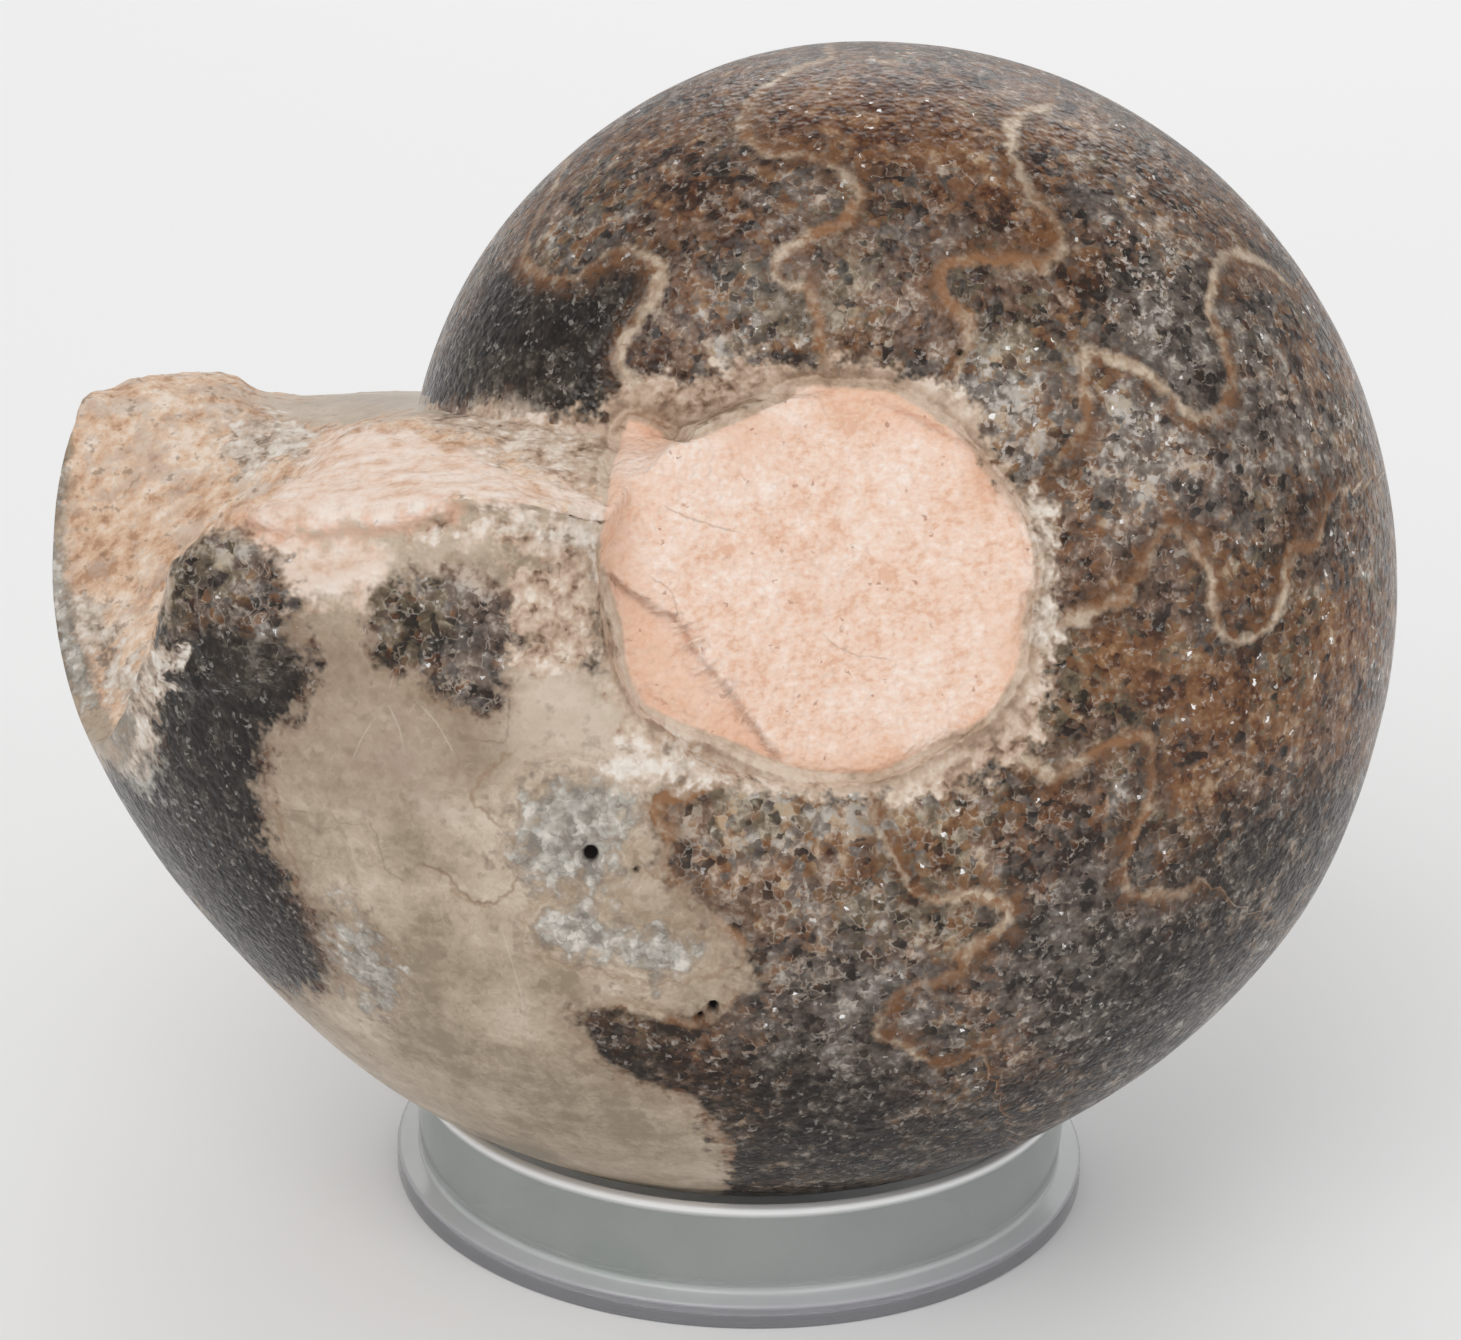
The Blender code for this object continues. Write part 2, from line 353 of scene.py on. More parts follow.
def finish_piece(name, shape):
    """Makes an object from a bmesh and puts it in the scene."""
    mesh = bpy.data.meshes.new(name)
    shape.to_mesh(mesh)
    shape.free()
    mesh.shade_smooth()
    made = bpy.data.objects.new(name, mesh)
    scene.collection.objects.link(made)
    return made


def spin_ring():
    shape = bmesh.new()
    section = ((RIM_RADIUS, RIM_HEIGHT), (WALL_FOOT_RADIUS, FOOT_HEIGHT),
               (FOOT_RADIUS, FOOT_HEIGHT), (FOOT_RADIUS, 0.0),
               (BORE_RADIUS, 0.0), (RIM_BORE_RADIUS, RIM_HEIGHT))
    corners = [shape.verts.new(ring_centre + Vector((r, 0.0, z))) for r, z in section]
    sides = [shape.edges.new(pair) for pair in zip(corners, corners[1:] + corners[:1])]
    bmesh.ops.spin(shape, geom=corners + sides, cent=ring_centre, axis=(0, 0, 1),
                   angle=2 * math.pi, steps=RING_STEPS, use_merge=True)
    bmesh.ops.remove_doubles(shape, verts=shape.verts, dist=0.01 * MM)
    bmesh.ops.recalc_face_normals(shape, faces=shape.faces)
    corners = [e for e in shape.edges if e.calc_face_angle(0.0) > SHARP]
    bmesh.ops.bevel(shape, geom=corners, offset=EDGE_ROUNDING, segments=3,
                    profile=0.5, affect="EDGES", material=-1)
    return finish_piece("clear_ring", shape)


def plastic_finish():
    """Clear moulded acrylic, hazed by handling, with a painted highlight along its rim, white and frosted
    there, and a frosted band above its foot that stands in for the bright line there.
    """
    board = Board("clear_acrylic")
    haze = board.noise(9 * MM)
    scuffs = board.noise(1.2 * MM, detail=4.0, stretch=(1.0, 1.0, 4.0))
    height = board.add("ShaderNodeSeparateXYZ", {"Vector": board.place}).outputs["Z"]
    # painted highlights: the rim top is painted white and frosted, and a band where the wall meets the foot
    # is frosted, for the bright lines that light makes there
    rim_highlight = board.fade(height, RIM_HEIGHT - 0.7 * MM, RIM_HEIGHT - 0.3 * MM)
    foot_highlight = times(board, board.fade(height, FOOT_HEIGHT - 0.3 * MM, FOOT_HEIGHT),
                 board.fade(height, FOOT_HEIGHT + 0.6 * MM, FOOT_HEIGHT + 0.2 * MM))
    foot = board.fade(height, FOOT_HEIGHT + 0.1 * MM, FOOT_HEIGHT - 0.1 * MM)
    surface = board.surface
    tint = board.ramp(haze, (0.35, 0.65), ((222, 229, 226), (235, 239, 237)))
    tint = board.mix(times(board, foot, 0.7), tint, paint(226, 222, 232))
    board.join(board.mix(rim_highlight, tint, paint(252, 252, 252)), surface.inputs["Base Color"])
    frost = board.math("MAXIMUM", rim_highlight, times(board, foot_highlight, 0.7))
    roughness = board.math("ADD", board.fade(haze, 0.3, 0.7, 0.10, 0.18),
                           board.fade(scuffs, 0.58, 0.75, 0.0, 0.1))
    board.join(roughness, surface.inputs["Roughness"])
    clear = board.math("SUBTRACT", 0.74, board.math("MULTIPLY", frost, 0.6))
    board.join(clear, surface.inputs["Transmission Weight"])
    surface.inputs["IOR"].default_value = 1.49
    bump = board.add("ShaderNodeBump", {"Strength": 0.1, "Distance": 0.05 * MM, "Height": scuffs})
    board.join(bump.outputs["Normal"], surface.inputs["Normal"])
    return board.material


ring = spin_ring()
ring.data.materials.append(plastic_finish())
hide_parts("ring_stand")
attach(ring, "root")
print("ring:", len(ring.data.polygons), "faces")

# %% [markdown]
# ## A finer stone
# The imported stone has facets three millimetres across. Its own copy is welded,
# turned back into quads and subdivided, with a crease along the broken edges
# so that they stay crisp. The crystals, the matrix and the broken face need
# still smaller faces, so the parts of the mesh that they cover are cut once
# more further down.

# %% A welded, subdivided copy
WELD = 0.02 * MM
CREASE_ANGLE = math.radians(34.0)
CREASE = 0.7
LEVELS = 2
QUAD_FLATNESS = math.radians(40.0)
QUAD_SHAPE = math.radians(70.0)


def quads_of(node):
    """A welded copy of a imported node, its triangles paired into quads."""
    shape = bmesh.new()
    shape.from_mesh(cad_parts[node].data)
    bmesh.ops.remove_doubles(shape, verts=shape.verts, dist=WELD)
    bmesh.ops.join_triangles(shape, faces=shape.faces, cmp_seam=False, cmp_sharp=False,
                             cmp_uvs=False, cmp_vcols=False, cmp_materials=False,
                             angle_face_threshold=QUAD_FLATNESS,
                             angle_shape_threshold=QUAD_SHAPE)
    crease = shape.edges.layers.float.new("crease_edge")
    for edge in shape.edges:
        if edge.calc_face_angle(0.0) > CREASE_ANGLE:
            edge[crease] = CREASE
    return shape


def subdivided(piece, levels):
    """The piece's mesh after a Catmull-Clark subdivision."""
    smooth = piece.modifiers.new("smooth", "SUBSURF")
    smooth.levels = levels
    smooth.render_levels = levels
    seen = bpy.context.evaluated_depsgraph_get()
    mesh = bpy.data.meshes.new_from_object(piece.evaluated_get(seen))
    piece.modifiers.remove(smooth)
    old = piece.data
    piece.data = mesh
    bpy.data.meshes.remove(old)
    mesh.name = piece.name


stone = finish_piece("polished_ammonite", quads_of("ammonite"))
cage_faces = len(stone.data.polygons)
subdivided(stone, LEVELS)
print("stone:", cage_faces, "faces in the cage,", len(stone.data.polygons), "after subdivision")

# %% [markdown]
# ## Putting marks on the stone
# Each mark is given by a few points of its outline in the camera's frame. A
# smooth curve through them is laid over the stone. Every vertex then learns how
# far inside or outside of it the mark's edge runs, in millimetres, and keeps
# that number as a field. A finish can fade or roughen such an edge with noise,
# far finer than the mesh. A vertex that faces away from the camera uses the
# place of its mirror image on the coil's other side, because a coiled shell is
# the same on both sides.

# %% Outlines and fields
PIXELS_PER_MM = 14.4        # over the near flank
CURVE_STEPS = 4
FAR_OFF = 300.0             # pixels
OUTSIDE = -10.0             # mm
STROKE_REACH = 40.0
NEAR_SIDE = (-0.3, 0.0)     # facing, from the mirrored place to the seen one


def vertex_places(mesh):
    places = np.empty(len(mesh.vertices) * 3, np.float32)
    mesh.vertices.foreach_get("co", places)
    return places.reshape(-1, 3).astype(float)


def vertex_normals(mesh):
    normals = np.empty(len(mesh.vertices) * 3, np.float32)
    mesh.vertex_normals.foreach_get("vector", normals)
    return normals.reshape(-1, 3).astype(float)


def smooth_line(points, closed=False):
    """A Catmull-Rom curve through the points."""
    points = [np.array(p, float) for p in points]
    if closed:
        points = [points[-1], *points, points[0], points[1]]
    else:
        points = [2 * points[0] - points[1], *points, 2 * points[-1] - points[-2]]
    curve = []
    for a, b, c, d in zip(points, points[1:], points[2:], points[3:]):
        for step in range(CURVE_STEPS):
            t = step / CURVE_STEPS
            curve.append(0.5 * (2 * b + (c - a) * t + (2 * a - 5 * b + 4 * c - d) * t * t
                                + (3 * b - a - 3 * c + d) * t**3))
    if not closed:
        curve.append(points[-2])
    return np.array(curve)


def inside(pixels, outline):
    """Which pixels lie inside a closed outline."""
    x, y = pixels[:, 0], pixels[:, 1]
    within = np.zeros(len(pixels), bool)
    for (x1, y1), (x2, y2) in zip(outline, np.roll(outline, -1, axis=0)):
        if y1 != y2:
            crosses = (y1 > y) != (y2 > y)
            within ^= crosses & (x < (x2 - x1) * (y - y1) / (y2 - y1) + x1)
    return within


def depth_inside(pixels, points, reach=110.0):
    """How many millimetres inside a closed outline each pixel is, or minus that outside."""
    outline = smooth_line(points, closed=True)
    low, high = outline.min(axis=0) - reach, outline.max(axis=0) + reach
    close = np.all((pixels > low) & (pixels < high), axis=1)
    depth = np.full(len(pixels), -reach)
    near = pixels[close]
    best = np.full(len(near), reach)
    for start, end in zip(outline, np.roll(outline, -1, axis=0)):
        along = end - start
        share = np.clip((near - start) @ along / max(along @ along, 1e-9), 0.0, 1.0)
        best = np.minimum(best, np.hypot(*(near - start - share[:, None] * along).T))
    depth[close] = np.where(inside(near, outline), best, -best)
    return depth / PIXELS_PER_MM


class Skin:
    """What the script knows of each vertex of the stone."""

    def __init__(self, mesh):
        self.mesh = mesh
        self.places = vertex_places(mesh)
        self.normals = vertex_normals(mesh)
        self.coil = to_coil(self.places)
        folded = self.coil.copy()
        folded[:, 2] = np.abs(folded[:, 2])
        self.pixels = pixels_of(self.places)
        self.mirrored = pixels_of(from_coil(folded))
        sight = np.array(camera_place) - self.places
        sight /= np.linalg.norm(sight, axis=1)[:, None]
        facing = np.einsum("ij,ij->i", self.normals, sight)
        share = np.clip((facing - NEAR_SIDE[0]) / (NEAR_SIDE[1] - NEAR_SIDE[0]), 0.0, 1.0)
        self.seen = share * share * (3 - 2 * share)

    def depth(self, *outlines, far=True):
        """The depth inside the nearest of some outlines, mirrored behind if far."""
        found = []
        for points in outlines:
            front = depth_inside(self.pixels, points)
            behind = depth_inside(self.mirrored, points) if far else OUTSIDE
            found.append(front * self.seen + behind * (1 - self.seen))
        return np.maximum.reduce(found)

    def round_depth(self, spots):
        """The depth inside the nearest of some round spots on the near side."""
        best = np.full(len(self.pixels), -FAR_OFF)
        for across, down, radius in spots:
            gap = np.hypot(self.pixels[:, 0] - across, self.pixels[:, 1] - down)
            best = np.maximum(best, radius - gap)
        return np.where(self.seen > 0.5, best, -FAR_OFF) / PIXELS_PER_MM

    def shaded(self, spots):
        """The sum of soft round shades, each with a radius in pixels and a strength."""
        total = np.zeros(len(self.pixels))
        for across, down, radius, strength in spots:
            for pixels, share in ((self.pixels, self.seen), (self.mirrored, 1 - self.seen)):
                gap = np.hypot(pixels[:, 0] - across, pixels[:, 1] - down)
                total += strength * share * np.exp(-((gap / radius) ** 2))
        return total

    def beside(self, strokes):
        """The signed and the plain distance to the nearest stroke, for the near side only."""
        best = np.full(len(self.pixels), FAR_OFF)
        signed = best.copy()
        for points in strokes:
            curve = smooth_line(points)
            low, high = curve.min(axis=0) - STROKE_REACH, curve.max(axis=0) + STROKE_REACH
            close = np.all((self.pixels > low) & (self.pixels < high), axis=1) & (self.seen > 0.5)
            near = self.pixels[close]
            for start, end in zip(curve, curve[1:]):
                along, away = end - start, near - start
                share = np.clip(away @ along / (along @ along), 0.0, 1.0)
                gap = np.hypot(*(away - share[:, None] * along).T)
                across = (away[:, 0] * along[1] - away[:, 1] * along[0]) / np.hypot(*along)
                nearer = gap < best[close]
                best[close] = np.where(nearer, gap, best[close])
                signed[close] = np.where(nearer, across, signed[close])
        return signed / PIXELS_PER_MM, best / PIXELS_PER_MM

    def keep(self, group, fields):
        """Stores three fields as one vector for each vertex."""
        values = np.column_stack([fields[name] for name in group])
        made = self.mesh.attributes.new("_".join(group), "FLOAT_VECTOR", "POINT")
        made.data.foreach_set("vector", values.astype(np.float32).ravel())


surface = BVHTree.FromPolygons([tuple(p) for p in vertex_places(stone.data)],
                               [tuple(f.vertices) for f in stone.data.polygons])


def place_at(pixel):
    """The place on the stone that the camera sees at a pixel, or None."""
    across = (pixel[0] - FRAME_WIDTH / 2) / FOCAL_PIXELS
    down = (pixel[1] - FRAME_HEIGHT / 2) / FOCAL_PIXELS
    direction = (forward + right * across - up * down).normalized()
    return surface.ray_cast(camera_place, direction)[0]


PLUG_MIDDLE = (830, 570)
middle = place_at(PLUG_MIDDLE)
print("the plug's middle is", [round(float(v), 1) for v in to_coil(middle)[0]], "in coil coordinates")

# %% [markdown]
# ## The marks
# These outlines are read off, a dozen points each. The matrix plug is
# the flat pink stone that filled the shell's navel. The open end shows ochre
# matrix in a scoop and a lens of rose matrix beside it. The rest are patches of
# crystal: nearly black, amber, or pale where the calcite is clear.

# %% The outlines of the marks
PLUG = ((633, 420), (647, 425), (673, 438), (697, 439), (723, 428), (750, 417), (777, 403),
        (795, 391), (822, 387), (873, 391), (897, 396), (937, 423), (963, 447), (998, 492),
        (1027, 540), (1030, 567), (1023, 607), (1014, 665), (1001, 692), (977, 719), (945, 737),
        (910, 756), (883, 769), (851, 773), (793, 767), (723, 740), (657, 711), (638, 689),
        (627, 660), (622, 620), (606, 563), (606, 513), (611, 473), (619, 447), (625, 425))
FLAKE = ((611, 577), (633, 596), (657, 609), (675, 617), (686, 633), (697, 655), (715, 676),
         (734, 697), (750, 721), (761, 735), (774, 753), (790, 790), (700, 760), (630, 720),
         (600, 660), (598, 600))
SCOOP = ((66, 560), (68, 520), (74, 470), (82, 420), (96, 388), (150, 376), (245, 382), (290, 396),
         (322, 436), (304, 461), (290, 484), (260, 506), (240, 524), (214, 529), (184, 548),
         (166, 580), (158, 640), (148, 664), (112, 640), (100, 606), (80, 600), (70, 590))
LENS = ((247, 517), (272, 499), (290, 484), (304, 461), (319, 440), (346, 431), (380, 432),
        (412, 443), (440, 459), (462, 478), (452, 507), (428, 517), (396, 525), (350, 529),
        (305, 534), (276, 529))
LENS_EDGE = (495.0, 510.0)      # the row below which the lens overhangs
WEDGE = ((404, 434), (460, 450), (520, 474), (600, 498), (598, 512), (520, 508), (455, 500),
         (440, 470))
ROSE_BELOW_LENS = ((262, 540), (330, 536), (380, 533), (386, 560), (378, 600), (350, 606), (318, 600),
                   (290, 590), (286, 560))
KNOB = ((166, 600), (170, 575), (180, 556), (196, 540), (214, 531), (236, 530), (252, 538),
        (264, 548), (280, 553), (287, 566), (284, 585), (300, 600), (290, 622), (300, 640),
        (306, 660), (240, 690), (190, 690), (160, 680), (157, 640))
BROWN_PATCH = ((382, 594), (402, 580), (430, 574), (458, 578), (484, 590), (508, 602), (520, 628),
               (512, 660), (502, 694), (480, 714), (452, 708), (428, 702), (408, 682), (382, 670),
               (372, 645), (374, 616))
BROWN_SPOT = ((560, 600), (590, 600), (606, 620), (604, 655), (585, 664), (562, 652), (545, 656),
              (532, 640), (540, 615))
LEFT_STRIP = ((44, 420), (62, 400), (70, 440), (66, 500), (64, 550), (72, 600), (84, 650), (100, 700),
              (120, 760), (96, 790), (60, 700), (40, 610), (36, 500))
TOP_STRIP = ((262, 380), (300, 385), (360, 388), (420, 384), (490, 384), (486, 404), (440, 415),
             (400, 418), (340, 422), (306, 414), (280, 402))
HONEYCOMB = ((664, 806), (760, 796), (900, 806), (1010, 790), (1020, 880), (960, 960), (880, 1000),
             (780, 1000), (730, 960), (690, 900))
BLACK_CORNER = ((505, 262), (562, 287), (576, 290), (603, 272), (640, 272), (648, 297), (630, 324),
                (616, 344), (610, 385), (616, 414), (555, 422), (528, 406), (484, 400), (444, 410),
                (424, 392), (450, 334), (474, 287))
BLACK_BAND = ((163, 650), (207, 629), (274, 638), (310, 647), (313, 680), (292, 723), (270, 738),
              (265, 772), (272, 834), (292, 888), (315, 928), (330, 984), (283, 990), (240, 970),
              (195, 925), (150, 880), (110, 815), (100, 770), (132, 768), (154, 765), (151, 727),
              (154, 687))
CHARCOAL_LOW = ((572, 1026), (600, 1016), (660, 1040), (700, 1070), (760, 1060), (860, 1075), (960, 1095),
                (1050, 1070), (1100, 1000), (1110, 930), (1170, 900), (1250, 800), (1330, 780), (1380, 800),
                (1330, 930), (1200, 1060), (1080, 1150), (900, 1210), (740, 1215), (600, 1180), (560, 1100))
PALES = (
    ((524, 799), (542, 776), (587, 772), (636, 799), (640, 824), (614, 846), (624, 874), (596, 888),
     (562, 874), (524, 861), (518, 828)),
    ((551, 906), (596, 902), (636, 924), (685, 941), (700, 957), (654, 978), (609, 961), (551, 950),
     (533, 928)),
    ((78, 600), (104, 592), (124, 640), (154, 650), (158, 690), (156, 765), (138, 770), (112, 710),
     (88, 660)),
    ((318, 916), (340, 914), (372, 940), (390, 975), (386, 1005), (362, 985), (336, 955)),
    ((44, 430), (58, 410), (66, 440), (62, 500), (60, 550), (72, 600), (88, 650), (98, 700), (80, 700),
     (56, 640), (38, 560), (36, 500)),
)
FROSTS = (
    ((935, 345), (985, 340), (1020, 370), (1035, 430), (1030, 480), (1005, 465), (985, 430),
     (960, 400), (940, 375)),
    ((785, 300), (830, 292), (880, 310), (890, 332), (840, 348), (796, 342)),
    ((1334, 412), (1356, 410), (1372, 430), (1362, 452), (1338, 446)),
    ((1112, 238), (1140, 228), (1172, 262), (1160, 320), (1126, 330), (1104, 280)),
    ((1100, 400), (1150, 400), (1180, 440), (1150, 480), (1110, 460)),
)
CHALKS = (
    ((213, 440), (230, 412), (290, 408), (318, 430), (300, 456), (262, 470), (240, 478), (222, 466)),
    ((80, 604), (96, 600), (112, 622), (118, 650), (140, 662), (160, 645), (172, 650), (162, 700),
     (152, 750), (138, 760), (126, 715), (104, 680), (88, 650)),
    ((1026, 500), (1044, 496), (1056, 520), (1058, 570), (1050, 640), (1036, 640), (1034, 580)),
    ((600, 752), (640, 746), (700, 762), (760, 790), (700, 800), (640, 790), (600, 780)),
    ((430, 545), (470, 515), (560, 515), (604, 530), (600, 560), (540, 552), (480, 540)),
)
CREAMS = (
    ((500, 560), (560, 556), (604, 570), (606, 610), (600, 668), (560, 672), (520, 664), (505, 620)),
    ((436, 416), (480, 404), (540, 414), (610, 416), (614, 440), (606, 500), (570, 486), (520, 468),
     (470, 446), (436, 434)),
    ((396, 536), (425, 516), (456, 508), (530, 508), (600, 516), (608, 560), (588, 584), (540, 574),
     (500, 566), (450, 545), (420, 546)),
    ((606, 400), (650, 372), (700, 372), (760, 356), (820, 356), (900, 360), (945, 384), (980, 436),
     (1008, 476), (1040, 510), (1060, 560), (1056, 620), (1048, 680), (1044, 740), (1004, 776),
     (940, 796), (860, 802), (780, 800), (716, 800), (660, 780), (620, 740), (604, 690), (596, 600),
     (596, 500)),
)
CRACKS = (
    ((670, 509), (683, 516), (697, 520), (716, 526), (734, 531)),
    ((827, 639), (841, 648), (857, 655), (883, 659)),
    ((297, 810), (314, 814)),
    ((332, 812), (339, 823), (350, 825)),
    ((370, 825), (379, 839), (382, 857), (390, 874), (399, 879)),
    ((430, 866), (444, 870), (457, 888), (475, 902), (493, 902)),
    ((480, 740), (502, 743), (509, 727), (509, 709)),
    ((121, 498), (130, 488), (138, 479)),
    ((654, 580), (668, 588), (675, 600), (676, 616)),
)
SCRATCHES = (
    ((355, 754), (362, 738), (370, 725)),
    ((390, 687), (392, 679), (395, 671)),
    ((379, 606), (380, 616), (380, 626)),
    ((392, 712), (400, 730), (403, 745)),
    ((420, 705), (436, 722), (450, 746)),
    ((505, 940), (520, 990), (523, 1010)),
)
VEINS = (
    ((424, 865), (442, 869), (459, 893), (487, 904), (515, 886), (519, 858), (508, 830),
     (487, 816), (473, 802), (480, 778), (508, 753)),
    ((522, 921), (550, 956), (592, 970), (655, 984), (732, 970), (746, 949), (718, 914),
     (676, 886), (641, 865), (634, 844)),
    ((276, 800), (284, 840), (296, 870), (300, 905), (318, 940)),
)
SMUDGE = ((300, 640), (380, 640), (400, 690), (470, 720), (500, 740), (480, 780), (420, 800),
          (330, 790), (280, 770), (270, 740), (300, 700))
LIGHT_FILL = ((505, 690), (540, 665), (590, 670), (612, 700), (640, 735), (700, 760), (760, 790),
              (700, 805), (640, 800), (600, 790), (560, 760), (520, 760), (495, 740))
# an orange line along the lower edge of the lens: partly the edge's own colour, partly painted shadow under
# its overhang
LENS_SHADOW_LINES = (((247, 520), (288, 536), (335, 532), (386, 527), (420, 520), (454, 509)),)
DENTS = ((276, 384, 42, 1.1), (330, 372, 40, 0.5))      # and a radius, and a depth in mm
# Soft spots that lighten or darken the tone by region. Most are the stone's own tone; the three on the lower
# right rim are painted sheen, the darker ones low on the beige fill are partly painted shade, and the one at
# (820, 372) is painted shade in the groove above the plug.
TONE_AND_PAINTED_LIGHT = (                              # and a radius, and how much lighter
    (690, 215, 100, -0.022), (1105, 285, 45, -0.030), (960, 210, 50, -0.012), (920, 95, 60, -0.026),
    (800, 160, 45, 0.020), (960, 160, 40, 0.014), (560, 235, 45, 0.028), (470, 245, 30, 0.020),
    (840, 320, 55, 0.034), (1010, 405, 50, 0.042), (735, 335, 55, 0.050), (1095, 410, 55, 0.045),
    (1160, 505, 60, 0.016), (1270, 410, 60, 0.030), (1215, 490, 50, -0.010), (1285, 560, 55, -0.014),
    (1350, 640, 50, 0.010), (1120, 715, 45, -0.018), (1290, 730, 50, 0.014), (1040, 640, 30, -0.020),
    (760, 850, 80, 0.038), (900, 850, 60, 0.040), (1065, 850, 50, -0.026), (1225, 850, 60, 0.018),
    (1290, 945, 40, 0.040), (1225, 1030, 40, 0.040), (1130, 1110, 40, 0.040), (660, 1040, 40, -0.020),
    (1050, 960, 60, -0.012), (640, 885, 35, 0.060), (640, 810, 35, 0.050), (565, 625, 45, 0.040),
    (240, 552, 30, 0.055), (265, 640, 40, 0.050), (470, 575, 40, 0.040), (520, 425, 65, 0.085),
    (385, 735, 60, -0.035), (360, 810, 60, -0.030), (570, 712, 50, 0.040), (560, 1115, 80, -0.070),
    (660, 1120, 50, -0.040), (700, 400, 60, -0.020), (820, 372, 70, -0.040), (1000, 440, 50, 0.020),
    (640, 740, 40, 0.060), (720, 785, 50, 0.060), (66, 650, 24, -0.090), (90, 725, 24, -0.090),
    (470, 545, 40, 0.050), (240, 560, 30, 0.020), (255, 895, 45, -0.035), (810, 795, 50, 0.050),
    (890, 790, 50, 0.055),
)
HUES = (                                # and a radius, and how amber, or how grey below nothing
    (800, 115, 45, 0.7), (870, 105, 50, 0.9), (950, 115, 45, 0.9), (1045, 232, 22, 1.2),
    (1120, 665, 40, 1.0), (1195, 705, 45, 0.9), (1290, 715, 55, 0.7), (1345, 630, 40, 1.0),
    (1190, 790, 30, 0.9), (1240, 262, 25, 0.5), (990, 195, 20, 0.7),
    (1180, 320, 90, -0.9), (1260, 440, 80, -0.7), (1130, 480, 50, -0.5), (1080, 880, 60, -0.8),
    (1060, 980, 80, -1.0), (1180, 1010, 90, -1.0), (830, 1000, 80, -0.8), (850, 1090, 90, -0.8),
    (1250, 870, 60, -0.6), (1010, 400, 40, -0.6), (745, 850, 60, 0.35), (920, 850, 45, 0.25),
)
PITS = ((590, 856, 9), (713, 1010, 6), (700, 1019, 4), (636, 872, 4), (960, 352, 4))   # and a radius
print("marks:", 13 + len(PALES) + len(FROSTS) + len(CHALKS) + len(CREAMS))

# %% [markdown]
# ## The sutures
# A suture is the line where the wall between two chambers met the shell. On a
# polished fossil it shows as a pale folded line that runs from the navel out to
# the coil's edge and back down the other side. Each is laid over the stone by
# the same rays, and mirrored in the coil's middle plane. The chambers between
# them are counted: a vertex in an odd chamber gets a distance with a minus
# sign, so the field crosses nothing exactly on the line and a thin line stays
# sharp on a coarse mesh.

# %% The sutures
SUTURES = (
    ((734, 1156), (709, 1124), (688, 1100), (636, 1082), (594, 1054), (573, 1026), (576, 1009),
     (618, 1002), (660, 1016), (692, 1026), (716, 1009), (745, 984), (748, 967), (741, 945),
     (716, 924), (688, 896), (664, 865), (671, 840), (653, 805), (700, 790), (735, 765)),
    ((983, 1052), (944, 1067), (921, 1056), (906, 1044), (883, 1041), (876, 1033), (887, 1010),
     (902, 991), (937, 983), (960, 972), (964, 956), (983, 941), (1006, 926), (1009, 910),
     (998, 899), (967, 895), (925, 899), (902, 880), (891, 853), (879, 830), (872, 811), (870, 780)),
    ((1199, 876), (1184, 891), (1153, 895), (1130, 891), (1126, 868), (1134, 837), (1149, 807),
     (1153, 772), (1155, 745), (1138, 732), (1115, 744), (1092, 753), (1077, 765), (1050, 776),
     (1010, 745)),
    ((1333, 496), (1315, 545), (1293, 549), (1284, 594), (1271, 625), (1253, 638), (1230, 643),
     (1213, 616), (1213, 576), (1190, 545), (1172, 527), (1154, 549), (1141, 576), (1123, 598),
     (1092, 612), (1065, 621), (1035, 625)),
    ((1293, 290), (1257, 259), (1221, 259), (1208, 308), (1221, 339), (1230, 375), (1217, 415),
     (1190, 415), (1168, 393), (1141, 371), (1110, 357), (1088, 350), (1083, 375), (1085, 415),
     (1070, 446), (1038, 478), (1010, 500)),
    ((1052, 107), (1020, 112), (1009, 134), (1018, 165), (1034, 196), (1052, 214), (1061, 241),
     (1047, 263), (1012, 259), (980, 259), (949, 263), (940, 277), (949, 304), (971, 326), (950, 400)),
    ((829, 58), (793, 71), (757, 94), (744, 116), (746, 134), (770, 154), (802, 156), (829, 165),
     (851, 179), (860, 196), (846, 219), (815, 232), (788, 250), (775, 268), (784, 286), (811, 295),
     (830, 390)),
    ((565, 165), (540, 215), (527, 245), (528, 266), (547, 277), (574, 277), (587, 268), (614, 250),
     (641, 254), (659, 265), (657, 290), (641, 317), (628, 339), (619, 366), (640, 385), (680, 430)),
)
SUTURE_SAMPLE = 3.0         # pixels between the samples along a curve
COIL_REACH = 80.0           # mm, beyond the coil's edge
FAR_OUT = 200.0


def resampled(curve, step):
    """Points along a curve at even steps."""
    runs = np.r_[0.0, np.cumsum(np.hypot(*np.diff(curve, axis=0).T))]
    wanted = np.linspace(0.0, runs[-1], max(int(runs[-1] / step), 2))
    return np.column_stack([np.interp(wanted, runs, curve[:, i]) for i in range(curve.shape[1])])


def edge_of_coil(azimuth):
    """The place on the coil's outer edge at an azimuth, in coil coordinates."""
    heading = np.array((math.cos(azimuth), math.sin(azimuth), 0.0))
    start = from_coil(heading * COIL_REACH)[0]
    inwards = Vector(from_coil(heading * -1.0)[0] - from_coil((0, 0, 0))[0]).normalized()
    hit = surface.ray_cast(Vector(start), inwards)[0]
    return to_coil(hit)[0]


def suture_on_stone(points):
    """A suture as samples on the near flank, from the coil's edge to the plug."""
    hits = [place_at(p) for p in resampled(smooth_line(points), SUTURE_SAMPLE)]
    line = to_coil([tuple(h) for h in hits if h is not None])
    line[:, 2] = np.abs(line[:, 2])
    start = edge_of_coil(math.atan2(line[0, 1], line[0, 0]))
    start[2] = 0.0
    share = np.linspace(0.0, 1.0, 12)[:-1, None]
    return np.vstack((start * (1 - share) + line[0] * share, line))


